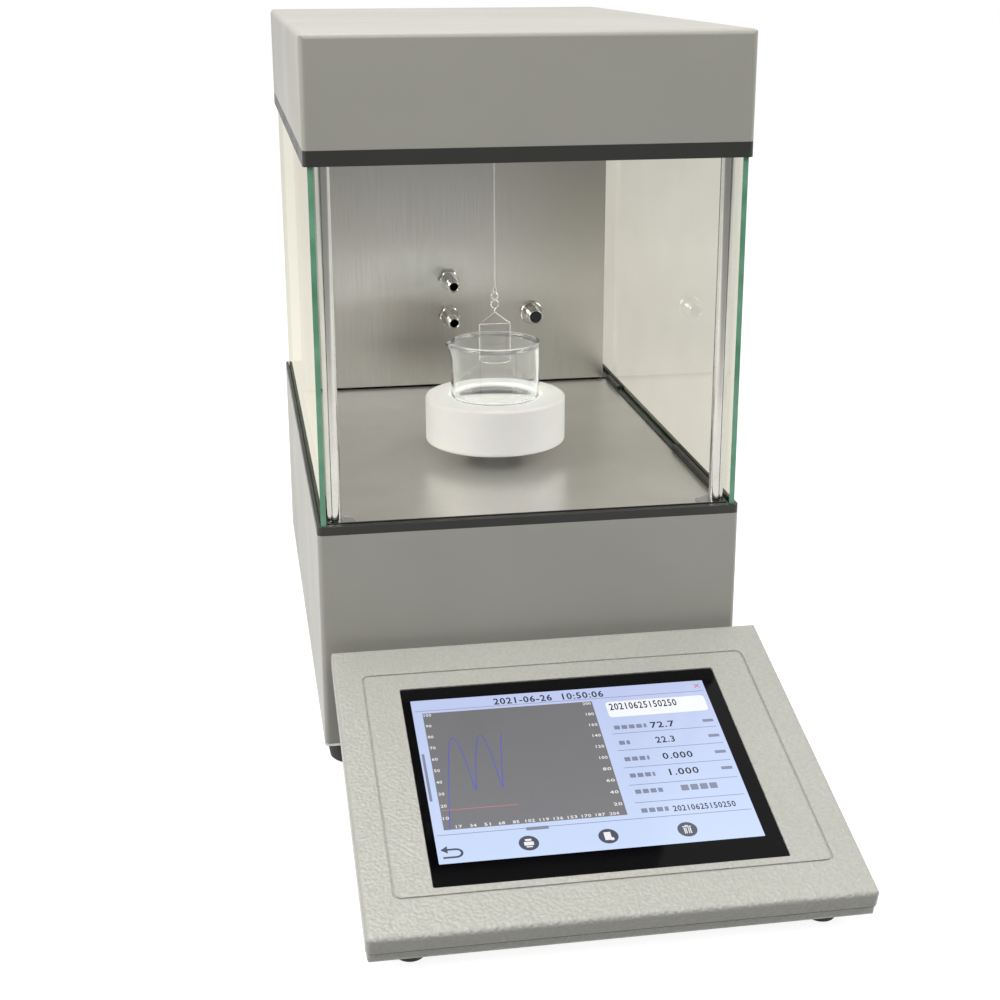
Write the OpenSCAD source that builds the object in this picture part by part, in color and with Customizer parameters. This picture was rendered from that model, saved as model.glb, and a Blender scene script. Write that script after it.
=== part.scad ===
// Surface tensiometer with a glass weighing chamber, a sample lift and a tilted touch console.
// Millimetres. X runs to the right, Y runs to the back and Z runs up from the table.
// The inner frame has its zero at the middle of the body's front edge, on the table.

/* [Body] */
// Width of the base, the chamber and the head
body_w = 240; // [225:1:270]
// Depth of the base and the head
body_d = 400; // [395:1:440]
// Height of the painted base housing, with its bottom plate
base_h = 127.5; // [120:0.5:150]
// Height of the painted head housing
head_h = 58; // [54:0.5:80]
// Thickness of the folded sheet
sheet_t = 1.5; // [1:0.1:2]
// Outer bend radius of the housings' corners
bend_r = 3; // [2.4:0.1:5]
// Width of the housing's turned-in flanges
flange_w = 9; // [7:0.5:10]

/* [Feet] */
// Height of the rubber feet
foot_h = 14; // [10:0.5:20]
// Diameter of a foot at the bottom plate
foot_d = 30; // [24:1:36]
// Distance from the body's sides to a foot's axis
foot_inset = 16.5; // [16:0.5:26]

/* [Chamber] */
// Clear height between the two black trims
chamber_h = 195.3; // [185:0.1:220]
// Depth of the duct behind the steel back wall
duct_d = 95; // [92:1:110]
// Height of the lower black trim
sill_h = 5; // [5:0.1:8]
// Height of the upper black trim
lintel_h = 8.2; // [7.5:0.1:12]
// Thickness of the steel plates
steel_t = 1.5; // [1:0.1:2]
// Drop of the chamber floor below the trim's top
floor_drop = 1; // [0.5:0.1:1.5]
// Width of the trim's ledge outside the side panes
ledge_w = 2; // [1.5:0.1:3]
// Width of the solid part of the trim's frame
frame_w = 14; // [13:0.5:16]
// Gap of the back wall above the floor
wall_gap = 1.8; // [1:0.1:3]
// Diameter of a corner post
post_d = 8; // [6:0.5:9]
// Distance from the body's side to a post's axis
post_inset = 10.5; // [10.5:0.1:12]
// Distance from the front edge to a post's axis
post_y = 12; // [11:0.5:14]
// Radius of the round boss under a post
boss_r = 11; // [8:0.5:12]

/* [Side panes] */
// Thickness of a side pane
glass_t = 3; // [2.5:0.1:4]
// Clearance on each side of a pane in its channel
glass_clear = 0.3; // [0.2:0.05:0.5]
// Depth of the lower channel
channel_depth = 3; // [2:0.1:3.5]
// Depth of a pane in the upper channel
pane_up = 5; // [3:0.1:6]
// Setback of a pane's ends from the body's ends
pane_setback = 2; // [1:0.1:4]
// Height of the raised guide lips beside a pane
lip_h = 2.6; // [1.5:0.1:4]

/* [Hose nozzles and probe socket] */
// Bore radius of a nozzle
nozzle_bore_r = 2.7; // [2:0.1:3.2]
// Outer radius of a nozzle's tube
nozzle_r = 4.2; // [3.8:0.1:5]
// Length of a nozzle in front of the back wall
nozzle_l = 30; // [20:1:40]
// Sideways place of both nozzles
nozzle_x = -5; // [-15:1:5]
// Height of the lower nozzle above the floor
nozzle_low_z = 52.5; // [40:0.5:60]
// Height between the two nozzles
nozzle_pitch = 26; // [24:0.5:32]
// Sideways place of the probe socket
socket_x = 55.5; // [40:0.5:70]
// Outer radius of the probe socket
socket_r = 5.2; // [4.5:0.1:6]
// Length of the probe socket in front of the back wall
socket_l = 18; // [12:1:24]

/* [Sample lift] */
// Distance from the front edge to the middle of the sample
sample_y = 128; // [120:1:140]
// Outer diameter of the lift column
column_d = 16; // [15:0.5:18]
// Diameter of the platform disc
platform_d = 36; // [30:1:50]
// Thickness of the platform disc
platform_t = 4; // [3:0.1:5]
// Gap between the floor and the sample holder at rest
holder_gap = 10; // [10:0.1:14]
// Diameter of the white sample holder
holder_d = 87; // [80:1:96]
// Height of the white sample holder
holder_h = 29; // [24:0.5:32]
// Depth of the dish's seat in the holder
seat_depth = 2; // [1.5:0.1:3]
// Clearance of the dish in that seat
seat_clear = 1.5; // [0.5:0.1:2.5]
// Radius of the spigot that centres the holder
spigot_r = 6; // [4:0.5:7]
// Height of that spigot
spigot_h = 3.5; // [2:0.1:4]
// Radial running clearance of the lift's shafts
fit_run = 0.05; // [0.02:0.01:0.09]
// Diameter of a guide rod
rod_d = 8; // [6:0.5:9]
// Distance from the column to a guide rod
rod_x = 28; // [26:0.5:34]
// Diameter of the lead screw
screw_d = 8; // [6:0.5:8]
// Drop of the lift below its rest height
lift_down = 5; // [3:0.5:6]

/* [Glass dish] */
// Outer diameter of the dish
dish_d = 55; // [50:0.5:62]
// Height of the dish
dish_h = 36; // [32:0.5:40]
// Wall thickness of the dish
dish_wall = 1.5; // [1:0.1:2]
// Thickness of the dish's floor
dish_floor = 1.6; // [1:0.1:2]
// Radius of the bead around the rim
bead_r = 1; // [0.8:0.05:1.3]

/* [Ring and hanger] */
// Diameter of the measuring ring, along its wire
ring_d = 19.1; // [17:0.1:21]
// Diameter of the ring's wire
ring_wire = 0.6; // [0.4:0.05:0.8]
// Height of the ring above the chamber floor
ring_z = 60.8; // [58:0.1:64]
// Height of the stirrup's cross bar above the ring
bar_rise = 22.6; // [18:0.1:25]
// Height of the stirrup's eye above the cross bar
eye_rise = 9; // [7:0.1:12]
// Diameter of the hanging wire
wire_d = 0.9; // [0.7:0.05:1.2]
// Radius of the hanger's lower hook
hook_r = 2.4; // [2:0.1:3]
// Radius of the wire hole in the chamber's ceiling
wire_hole_r = 7; // [6:0.5:9]
// Length of the threading slot in front of the wire's hole
wire_slot_l = 24; // [18:1:40]

/* [Console] */
// Width of the console
console_w = 245; // [235:1:260]
// Length of the console from front to back along its top
console_l = 212; // [206:1:225]
// Thickness of the console
console_t = 17.3; // [16.5:0.1:20]
// Slope of the console at rest
console_tilt = 15; // [14:0.1:18]
// Sideways offset of the console from the body's middle
console_x = 7; // [0:0.5:10]
// Gap between the console's back edge and the base
console_gap = 4.4; // [3.5:0.1:6]
// Height of the console's lowest edge above the table
console_lift = 4.7; // [3:0.1:7]
// Depth of the upper shell
upper_t = 9; // [8.5:0.1:10]
// Gap of the seam between the shells
seam_gap = 0.4; // [0.2:0.05:0.6]
// Wall thickness of the shells
shell_wall = 2.2; // [2:0.1:2.4]
// Thickness of the console's top skin
skin_t = 2.6; // [2.5:0.1:3]
// Edge radius of the upper shell
upper_r = 2.4; // [2.3:0.1:3]
// Edge radius of the lower shell
lower_r = 5; // [4:0.1:6]
// Radius of a console hinge pin
pin_r = 2; // [1.5:0.1:2.4]
// Sideways distance from the console's middle to a hinge
hinge_x = 70; // [60:1:85]
// Width of a hinge knuckle
knuckle_w = 20; // [16:0.5:24]

/* [Touch screen] */
// Width of the black touch glass
touch_w = 174.5; // [170:0.5:180]
// Length of the black touch glass
touch_l = 146; // [140:0.5:150]
// Sideways offset of the touch glass
touch_x = -0.7; // [-3:0.1:3]
// Distance from the console's front edge to the middle of the touch glass
touch_v = 102; // [98:0.5:106]
// Depth of the touch glass's recess
recess_depth = 1.6; // [1.5:0.1:1.8]
// Thickness of the touch glass
touch_t = 1.2; // [1:0.1:1.4]
// Width of the border groove around the screen field
border_w = 215; // [208:0.5:220]
// Length of the border groove
border_l = 165.3; // [160:0.1:170]
// Distance from the console's front edge to the groove's middle
border_v = 106; // [102:0.5:108]

/* [Hidden] */

$fn = 64;
eps = 0.01;
painted = [0.56, 0.555, 0.54];
black_trim = [0.13, 0.13, 0.12];
steel = [0.66, 0.65, 0.62];
bright_steel = [0.75, 0.75, 0.74];
clear_glass = [0.72, 0.88, 0.82, 0.35];
console_grey = [0.8, 0.8, 0.76];
rubber_black = [0.08, 0.08, 0.08];
brass_tone = [0.78, 0.62, 0.32];
board_green = [0.1, 0.38, 0.2];

// Heights of the stack
base_z = foot_h;
deck_z = base_z + base_h;
sill_z = deck_z + sill_h;
floor_z = sill_z - floor_drop;
lintel_z = sill_z + chamber_h;
head_z = lintel_z + lintel_h;
half_w = body_w / 2;
plate_top = base_z + sheet_t;

// Side panes and the trims that hold them
channel_out = half_w - ledge_w;
channel_in = channel_out - glass_t - 2 * glass_clear;
lip_w = 2.4;
lip_in = channel_in - lip_w;
trim_in = half_w - frame_w;
pane_bottom = sill_z - channel_depth + glass_clear;
pane_top = lintel_z + pane_up;
groove_y = 4;
groove_w = 2.4;
floor_y = groove_y + groove_w + 0.8;
floor_half_w = lip_in - 0.1;
post_x = half_w - post_inset;
post_spigot_r = 2.5;
post_spigot_l = 3;
chamber_d = body_d - duct_d;
wall_y = chamber_d;
wall_half_w = lip_in - 2.6;
wall_flange = 13;
rear_y = body_d - sheet_t;
rear_half_w = wall_half_w - steel_t - 0.2;

// Back-wall fittings
nozzle_z = [floor_z + nozzle_low_z, floor_z + nozzle_low_z + nozzle_pitch];
hex_r = 7.5;
hex_t = 6;
stub_l = 14;
nut_r = 9;
nut_t = 3.5;
port_rise = 72;
port_pitch = 26;
port_z = [base_z + port_rise, base_z + port_rise + port_pitch];
port_stub_l = 14;
port_proud = 14;
port_hex_r = 8;
port_hex_t = 4;
hose_r = nozzle_r + 1.4;
hose_bend_r = 12;
hose_back = 37;
hose_step = 18;
hose_y = [body_d - hose_back - hose_step, body_d - hose_back];

// Lift
holder_z = floor_z + holder_gap;
platform_z = holder_z - platform_t;
column_r = column_d / 2;
column_bore_r = screw_d / 2 + 1;
floor_hole_r = column_r + 1.5;
motor_w = 42.3;
motor_h = 34;
motor_z = plate_top + 0.5;
motor_plate_z = motor_z + motor_h;
motor_plate_t = 4;
carriage_h = 14;
top_plate_t = 5;
top_plate_drop = 16;
top_plate_z = deck_z - top_plate_drop;
carriage_drop = 19;
carriage_z = top_plate_z - carriage_h - carriage_drop;
nut_flange_t = 3.5;
nut_l = 8;
coupling_z = motor_plate_z + motor_plate_t + 2;
coupling_top = carriage_z - nut_flange_t - lift_down - 1;
screw_top = platform_z - 6 - lift_down - 10;
motor_shaft_r = 2.5;
rod_r = rod_d / 2;
lift_w = 2 * rod_x + 24;
lift_l = 34;

// Dish and holder
dish_z = holder_z + holder_h - seat_depth;
dish_r = dish_d / 2;
seat_r = dish_r + seat_clear;
dish_top = dish_z + dish_h;

// Ring, stirrup and hanger
ring_level = floor_z + ring_z;
bar_level = ring_level + bar_rise;
eye_level = bar_level + eye_rise;
ring_r = ring_d / 2;
wr = ring_wire / 2;
eye_r = 1.8;
hang_gap = 0.3;
hook_level = eye_level + eye_r - wr - wire_d / 2 - hang_gap;
hook_top = hook_level + 2 * hook_r;
beam_z = head_z + sheet_t + 36;
beam_h = 6;
hang_pin_r = 0.8;
top_eye_r = 2;
top_eye_z = beam_z - (top_eye_r - wire_d / 2 - hang_pin_r - hang_gap);

// Weigh cell in the head
cell_y = sample_y + 12;
cell_l = 96;
cell_w = 56;
pivot_y = cell_y + 30;
beam_w = 12;
coil_y = pivot_y + 42;
pivot_r = 1.5;

// Console
tilt = console_tilt;
console_front_y = -console_gap - console_l * cos(tilt) - console_t * sin(tilt);
console_front_z = console_lift + console_t * cos(tilt);
hinge_back = 6;
hinge_drop = 8;
knuckle_r = 4.5;
notch_w = knuckle_w + 0.8;
notch_l = 14;
lug_w = 6;
hinge_v = console_l - hinge_back;
hinge_y = console_front_y + hinge_v * cos(tilt) + hinge_drop * sin(tilt);
hinge_z = console_front_z + hinge_v * sin(tilt) - hinge_drop * cos(tilt);
corner_r = 3;
lcd_w = 162;
lcd_l = 121.5;
lcd_x = touch_x - 1.7;
lcd_v = touch_v + 2.7;
boss_in = 12;
console_screw_u = console_w / 2 - boss_in;
console_screw_v = [22, console_l - 22];
screw_r = 1.5;

// Board and supply in the base
board_x = -92;
board_y = 205;
board_w = 120;
board_l = 110;
board_t = 1.6;
standoff_h = 8;
supply_w = 62;
supply_l = 120;
supply_h = 36;
supply_x = 44;
supply_y = 200;
inlet_x = -84;
switch_x = -46;
port_x = -12;
panel_row_z = base_z + 36;

// Middle of the whole object's box, so that the part's own zero is under its middle
box_x_low = min(-half_w, console_x - console_w / 2);
box_x_high = max(half_w, console_x + console_w / 2);
shift_x = (box_x_low + box_x_high) / 2;
box_y_low = console_front_y + upper_r * (cos(tilt) + sin(tilt) - 1);
shift_y = (box_y_low + body_d + port_proud) / 2;

module placed() {
    translate([-shift_x, -shift_y, 0])
        children();
}

// Console pieces are drawn flat: x across, y up the slope, z normal to the top
module on_slope() {
    placed()
        translate([console_x, console_front_y, console_front_z])
            rotate([tilt, 0, 0])
                children();
}

// Rectangle with round corners, low corner at [-w/2, 0]
module soft_rect(w, d, r) {
    translate([-w / 2 + r, 0])
        square([w - 2 * r, d]);
    translate([-w / 2, r])
        square([w, d - 2 * r]);
    for (x = [-w / 2 + r, w / 2 - r])
        for (y = [r, d - r])
            translate([x, y])
                circle(r);
}

// Upright outline with a flat foot and two round top corners
module arch_rect(w, h, r) {
    translate([-w / 2, 0])
        square([w, h - r]);
    translate([-w / 2 + r, 0])
        square([w - 2 * r, h]);
    for (x = [-w / 2 + r, w / 2 - r])
        translate([x, h - r])
            circle(r);
}

// Block whose plan corners have radius r and whose top edges have radius t
module cap_block(w, d, h, r, t) {
    intersection() {
        linear_extrude(h)
            soft_rect(w, d, r);
        translate([0, d, 0])
            rotate([90, 0, 0])
                linear_extrude(d)
                    arch_rect(w, h, t);
        translate([-w / 2, d / 2, 0])
            rotate([90, 0, 90])
                linear_extrude(w)
                    arch_rect(d, h, t);
    }
}

module box_at(low, size) {
    translate(low)
        cube(size);
}

module rod_z(x, y, z, r, h) {
    translate([x, y, z])
        cylinder(r = r, h = h);
}

// Cylinder that runs from y toward the back
module rod_y(x, y, z, r, l) {
    translate([x, y, z])
        rotate([-90, 0, 0])
            cylinder(r = r, h = l);
}

// Hexagon that runs from y toward the back
module hex_y(x, y, z, r, l) {
    translate([x, y, z])
        rotate([-90, 0, 0])
            cylinder(r = r, h = l, $fn = 6);
}

// Round-head machine screw: the head stands on z = 0 and the shank points down
module machine_screw(shank_r, shank_l, head_r, head_h) {
    difference() {
        union() {
            cylinder(r = head_r, h = head_h);
            translate([0, 0, -shank_l])
                cylinder(r = shank_r, h = shank_l);
        }
        translate([0, 0, head_h * 0.4])
            cylinder(r = head_r * 0.45, h = head_h, $fn = 6);
    }
}

// ---- Base ----

base_screw_points = [for (x = [-half_w + sheet_t + flange_w / 2, half_w - sheet_t - flange_w / 2])
    for (y = [60, body_d / 2, body_d - 60]) [x, y]];

// Folded sheet: front and two sides, with flanges turned in at the top and bottom
module base_housing() {
    wall_h = deck_z - plate_top;
    color(painted)
        placed()
            difference() {
                translate([0, 0, plate_top])
                    intersection() {
                        linear_extrude(wall_h)
                            soft_rect(body_w, body_d + 2 * bend_r, bend_r);
                        box_at([-half_w, 0, 0], [body_w, body_d, wall_h]);
                    }
                translate([0, sheet_t, plate_top + sheet_t])
                    linear_extrude(wall_h - 2 * sheet_t)
                        soft_rect(body_w - 2 * sheet_t, body_d + bend_r, bend_r - sheet_t);
                box_at([-half_w + sheet_t + flange_w, sheet_t + flange_w, plate_top - 1],
                    [body_w - 2 * (sheet_t + flange_w), body_d, wall_h + 2]);
                box_at([-half_w + sheet_t, rear_y, plate_top - 1],
                    [body_w - 2 * sheet_t, body_d, wall_h + 2]);
                for (p = base_screw_points)
                    rod_z(p[0], p[1], plate_top - 1, screw_r + 0.1, sheet_t + 2);
                for (side = [-1, 1])
                    bracket_points(side)
                        rod_y(0, -1, 0, screw_r + 0.1, sheet_t + 2);
            }
}

module base_plate() {
    color(painted)
        placed()
            difference() {
                translate([0, 0, base_z])
                    linear_extrude(sheet_t)
                        soft_rect(body_w, body_d, bend_r);
                for (p = base_screw_points)
                    rod_z(p[0], p[1], base_z - 1, screw_r + 0.2, sheet_t + 2);
                for (x = [-1, 1])
                    for (y = [foot_inset, body_d - foot_inset])
                        rod_z(x * (half_w - foot_inset), y, base_z - 1, 2.2, sheet_t + 2);
            }
}

// Four feet, each with a moulded stem through the bottom plate
module rubber_feet() {
    color(rubber_black)
        placed()
            for (x = [-1, 1])
                for (y = [foot_inset, body_d - foot_inset])
                    translate([x * (half_w - foot_inset), y, 0])
                        rotate_extrude()
                            polygon([
                                [0, 0],
                                [foot_d / 2 - 3, 0],
                                [foot_d / 2 - 2, 1],
                                [foot_d / 2, foot_h - 2],
                                [foot_d / 2, foot_h],
                                [2, foot_h],
                                [2, foot_h + sheet_t + 2],
                                [0, foot_h + sheet_t + 2]
                            ]);
}

panel_screw_points = [for (x = [-half_w + 8, 0, half_w - 8]) for (z = [plate_top + 7, deck_z - 7]) [x, z]];

// Closes the back of the base and holds the connectors
module rear_panel() {
    color(painted)
        placed()
            difference() {
                box_at([-half_w + sheet_t, rear_y, plate_top], [body_w - 2 * sheet_t, sheet_t, deck_z - plate_top]);
                box_at([inlet_x - 14, rear_y - 1, panel_row_z - 10], [28, sheet_t + 2, 20]);
                box_at([switch_x - 7, rear_y - 1, panel_row_z - 10], [14, sheet_t + 2, 20]);
                box_at([port_x - 9, rear_y - 1, panel_row_z - 5], [18, sheet_t + 2, 10]);
                for (z = port_z)
                    rod_y(nozzle_x, rear_y - 1, z, nozzle_r + 0.1, sheet_t + 2);
                for (p = panel_screw_points)
                    rod_y(p[0], rear_y - 1, p[1], screw_r + 0.1, sheet_t + 2);
            }
}

module panel_screws() {
    color(bright_steel)
        placed()
            for (p = panel_screw_points)
                translate([p[0], body_d, p[1]])
                    rotate([-90, 0, 0])
                        machine_screw(screw_r, 6, 2.8, 1.8);
}

module base_screws() {
    color(bright_steel)
        placed()
            for (p = base_screw_points)
                translate([p[0], p[1], base_z])
                    rotate([180, 0, 0])
                        machine_screw(screw_r, 6, 2.8, 1.8);
}

// ---- Chamber ----

lip_spans = [[post_y + 12, 117], [chamber_d - 36, chamber_d - 2]];

// Black frame on the base: pane channels, front groove, post bosses and guide lips
trim_seam_w = 0.02;

module base_trim() {
    color(black_trim)
        placed()
            difference() {
                union() {
                    difference() {
                        translate([0, 0, deck_z])
                            linear_extrude(sill_h)
                                soft_rect(body_w, body_d, bend_r);
                        box_at([-trim_in, frame_w, deck_z - 1], [2 * trim_in, body_d - 2 * frame_w, sill_h + 2]);
                        box_at([-lip_in, floor_y, floor_z - steel_t],
                            [2 * lip_in, wall_y + steel_t + 1 - floor_y, sill_h]);
                    }
                    for (side = [-1, 1])
                        intersection() {
                            rod_z(side * post_x, post_y, deck_z, boss_r, floor_z - deck_z);
                            box_at([-lip_in, floor_y - 1, deck_z], [2 * lip_in, 2 * boss_r + 2, sill_h]);
                        }
                    for (side = [0, 1])
                        mirror([side, 0, 0])
                            for (s = lip_spans)
                                box_at([lip_in, s[0], sill_z - 1], [lip_w, s[1] - s[0], lip_h + 1]);
                }
                for (side = [0, 1])
                    mirror([side, 0, 0])
                        box_at([channel_in, pane_setback - glass_clear, sill_z - channel_depth],
                            [channel_out - channel_in, body_d, channel_depth + 1]);
                box_at([-channel_in - eps, groove_y, sill_z - 2], [2 * channel_in + 2 * eps, groove_w, 3]);
                for (side = [-1, 1]) {
                    rod_z(side * post_x, post_y, floor_z - post_spigot_l - 0.5, post_spigot_r + 0.05, sill_h);
                    rod_z(side * post_x, post_y, floor_z, post_d / 2 + 0.3, sill_h);
                }
                for (y = [post_y + boss_r + 0.5, body_d - frame_w - 0.5])
                    box_at([-body_w, y, deck_z - 1], [2 * body_w, trim_seam_w, sill_h + lip_h]);
            }
}

// Steel floor, notched round the post bosses, with the hole for the lift column
module floor_plate() {
    color(steel)
        placed()
            difference() {
                box_at([-floor_half_w, floor_y + 0.1, floor_z - steel_t],
                    [2 * floor_half_w, wall_y + steel_t + 0.8 - floor_y, steel_t]);
                for (side = [-1, 1])
                    rod_z(side * post_x, post_y, floor_z - steel_t - 1, boss_r + 0.3, steel_t + 2);
                rod_z(0, sample_y, floor_z - steel_t - 1, floor_hole_r, steel_t + 2);
            }
}

// Steel back wall with side flanges turned to the rear; its middle reaches the ceiling plate
module back_wall() {
    wall_bottom = floor_z + wall_gap;
    color(steel)
        placed()
            difference() {
                union() {
                    box_at([-wall_half_w, wall_y, wall_bottom], [2 * wall_half_w, steel_t, lintel_z - wall_bottom]);
                    box_at([-trim_in + 0.5, wall_y, wall_bottom], [2 * trim_in - 1, steel_t, head_z - wall_bottom]);
                    for (side = [0, 1])
                        mirror([side, 0, 0])
                            box_at([wall_half_w - steel_t, wall_y, wall_bottom],
                                [steel_t, wall_flange, lintel_z - wall_bottom]);
                }
                for (z = nozzle_z)
                    rod_y(nozzle_x, wall_y - 1, z, nozzle_r + 0.1, steel_t + 2);
                rod_y(socket_x, wall_y - 1, nozzle_z[0], socket_r - 0.9, steel_t + 2);
            }
}

vent_rows = 7;
vent_pitch = 9;

// Painted channel behind the back wall, with a row of vent slots
module rear_housing() {
    color(painted)
        placed()
            difference() {
                box_at([-rear_half_w, wall_y + steel_t + 1.8, sill_z],
                    [2 * rear_half_w, body_d - wall_y - steel_t - 1.8, chamber_h]);
                box_at([-rear_half_w + sheet_t, wall_y, sill_z - 1],
                    [2 * (rear_half_w - sheet_t), rear_y - wall_y, chamber_h + 2]);
                for (i = [0 : vent_rows - 1])
                    box_at([-30, rear_y - 1, lintel_z - 30 - i * vent_pitch], [60, sheet_t + 2, 3]);
            }
}

// Black frame under the head, with the upper pane channels and front groove
module head_trim() {
    color(black_trim)
        placed()
            difference() {
                translate([0, 0, lintel_z])
                    linear_extrude(lintel_h)
                        soft_rect(body_w, body_d, bend_r);
                box_at([-trim_in, post_y + boss_r, lintel_z - 1],
                    [2 * trim_in, body_d - post_y - boss_r - frame_w, lintel_h + 2]);
                for (side = [0, 1])
                    mirror([side, 0, 0])
                        box_at([channel_in, pane_setback - glass_clear, lintel_z - 1],
                            [channel_out - channel_in, body_d, pane_up + glass_clear + 1]);
                box_at([-channel_in - eps, groove_y, lintel_z - 1], [2 * channel_in + 2 * eps, groove_w, 3]);
                for (side = [-1, 1])
                    rod_z(side * post_x, post_y, lintel_z - 1, post_spigot_r + 0.05, post_spigot_l + 1.5);
            }
}

ceiling_half_w = half_w - sheet_t - 0.2;

// Steel plate that closes the chamber and carries the weigh cell
module ceiling_plate() {
    color(steel)
        placed()
            difference() {
                translate([0, sheet_t + 0.2, head_z])
                    linear_extrude(sheet_t)
                        soft_rect(2 * ceiling_half_w, body_d - 2 * sheet_t - 0.4, bend_r - sheet_t);
                for (y = [sample_y, sample_y - wire_slot_l])
                    rod_z(0, y, head_z - 1, wire_hole_r, sheet_t + 2);
                box_at([-wire_hole_r, sample_y - wire_slot_l, head_z - 1],
                    [2 * wire_hole_r, wire_slot_l, sheet_t + 2]);
            }
}

// Hairline seams part the head's panels and the trim's four bars
seam_w = 0.02;
panel_in = 0.1;

// Painted cap over the weigh cell: front, rear, two sides and a top
module head_housing() {
    color(painted)
        placed()
            translate([0, 0, head_z])
                difference() {
                    cap_block(body_w, body_d, head_h, bend_r, bend_r);
                    translate([0, sheet_t, -1])
                        cap_block(body_w - 2 * sheet_t, body_d - 2 * sheet_t, head_h - sheet_t + 1,
                            bend_r - sheet_t, bend_r - sheet_t);
                    for (y = [sheet_t + panel_in, body_d - sheet_t - panel_in - seam_w])
                        box_at([-body_w, y, -1], [2 * body_w, seam_w, head_h - sheet_t - panel_in + 1]);
                    box_at([-body_w, -1, head_h - sheet_t - panel_in], [2 * body_w, body_d + 2, seam_w]);
                }
}

// Polished round posts at the two front corners, with a spigot at each end
module front_posts() {
    color(bright_steel)
        placed()
            for (side = [-1, 1]) {
                rod_z(side * post_x, post_y, floor_z, post_d / 2, lintel_z - floor_z);
                rod_z(side * post_x, post_y, floor_z - post_spigot_l, post_spigot_r,
                    lintel_z - floor_z + 2 * post_spigot_l);
            }
}

// Two plain rods that tie the rear of the frames together, inside the rear housing
module rear_posts() {
    color(bright_steel)
        placed()
            for (side = [-1, 1])
                rod_z(side * (rear_half_w - 10), body_d - frame_w / 2, sill_z, 4, chamber_h);
}

module side_glass(side) {
    inner = side > 0 ? channel_in + glass_clear : -channel_in - glass_clear - glass_t;
    color(clear_glass)
        placed()
            box_at([inner, pane_setback, pane_bottom], [glass_t, body_d - 2 * pane_setback, pane_top - pane_bottom]);
}

module side_glass_left() {
    side_glass(-1);
}

module side_glass_right() {
    side_glass(1);
}

// ---- Back-wall fittings and hoses ----

// Two steel nozzles for the water jacket's hoses, each with a hexagon against the wall
module hose_nozzles() {
    color(bright_steel)
        placed()
            for (z = nozzle_z)
                difference() {
                    union() {
                        hex_y(nozzle_x, wall_y - hex_t, z, hex_r, hex_t);
                        rod_y(nozzle_x, wall_y - nozzle_l, z, nozzle_r, nozzle_l + steel_t + stub_l);
                    }
                    rod_y(nozzle_x, wall_y - nozzle_l - 1, z, nozzle_bore_r, nozzle_l + steel_t + stub_l + 2);
                }
}

// Socket for the temperature probe, with a dark insert
module probe_socket() {
    color(bright_steel)
        placed()
            difference() {
                union() {
                    rod_y(socket_x, wall_y - 2.5, nozzle_z[0], socket_r + 3, 2.5);
                    rod_y(socket_x, wall_y - socket_l, nozzle_z[0], socket_r, socket_l);
                    rod_y(socket_x, wall_y - 2, nozzle_z[0], socket_r - 1, steel_t + 10);
                }
                rod_y(socket_x, wall_y - socket_l - 1, nozzle_z[0], socket_r - 1.2, 5);
            }
}

module wall_nuts() {
    color(bright_steel)
        placed() {
            for (z = nozzle_z)
                difference() {
                    hex_y(nozzle_x, wall_y + steel_t, z, nut_r, nut_t);
                    rod_y(nozzle_x, wall_y, z, nozzle_r + 0.05, nut_t + 5);
                }
            difference() {
                hex_y(socket_x, wall_y + steel_t, nozzle_z[0], nut_r, nut_t);
                rod_y(socket_x, wall_y, nozzle_z[0], socket_r - 0.95, nut_t + 5);
            }
        }
}

// Quarter bend of a hose in the YZ plane, from its back end (+Y) to its top end (+Z)
module hose_bend(r) {
    rotate([90, 0, 90])
        rotate_extrude(angle = 90)
            translate([hose_bend_r, 0])
                circle(r);
}

// Whole run of one hose at radius r: back, down, and back again to its rear port
module hose_run(i, r) {
    start_y = wall_y + steel_t + nut_t + 0.5;
    end_y = rear_y - port_hex_t - 0.5;
    rod_y(nozzle_x, start_y, nozzle_z[i], r, hose_y[i] - hose_bend_r - start_y);
    translate([nozzle_x, hose_y[i] - hose_bend_r, nozzle_z[i] - hose_bend_r])
        hose_bend(r);
    rod_z(nozzle_x, hose_y[i], port_z[i] + hose_bend_r, r, nozzle_z[i] - port_z[i] - 2 * hose_bend_r);
    translate([nozzle_x, hose_y[i] + hose_bend_r, port_z[i] + hose_bend_r])
        rotate([180, 0, 0])
            hose_bend(r);
    rod_y(nozzle_x, hose_y[i] + hose_bend_r, port_z[i], r, end_y - hose_y[i] - hose_bend_r);
}

// Silicone hoses from the nozzles' stubs down to the rear ports
module inner_hoses() {
    color([0.85, 0.85, 0.82])
        placed()
            for (i = [0, 1])
                difference() {
                    hose_run(i, hose_r);
                    rod_y(nozzle_x, wall_y, nozzle_z[i], nozzle_r + 0.05, steel_t + stub_l + 1);
                    rod_y(nozzle_x, rear_y - port_stub_l - 1, port_z[i], nozzle_r + 0.05, port_stub_l);
                }
}

// Two ports on the rear panel, each with a hexagon on both sides
module rear_hose_ports() {
    color(bright_steel)
        placed()
            for (z = port_z)
                difference() {
                    union() {
                        rod_y(nozzle_x, rear_y - port_stub_l, z, nozzle_r, port_stub_l + sheet_t + port_proud);
                        hex_y(nozzle_x, body_d, z, port_hex_r, port_hex_t);
                        hex_y(nozzle_x, rear_y - port_hex_t, z, port_hex_r, port_hex_t);
                    }
                    rod_y(nozzle_x, rear_y - port_stub_l - 1, z, nozzle_bore_r, 2 * port_stub_l + 10);
                }
}

// ---- Sample lift in the base ----

standoff_x = lift_w / 2 - 5;
standoff_y = lift_l / 2 + 8;
motor_plate_w = lift_w;
motor_plate_l = lift_l + 26;

module motor_standoffs() {
    color(bright_steel)
        placed()
            for (x = [-1, 1])
                for (y = [-1, 1])
                    rod_z(x * standoff_x, sample_y + y * standoff_y, plate_top, 4, motor_plate_z - plate_top);
}

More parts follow.
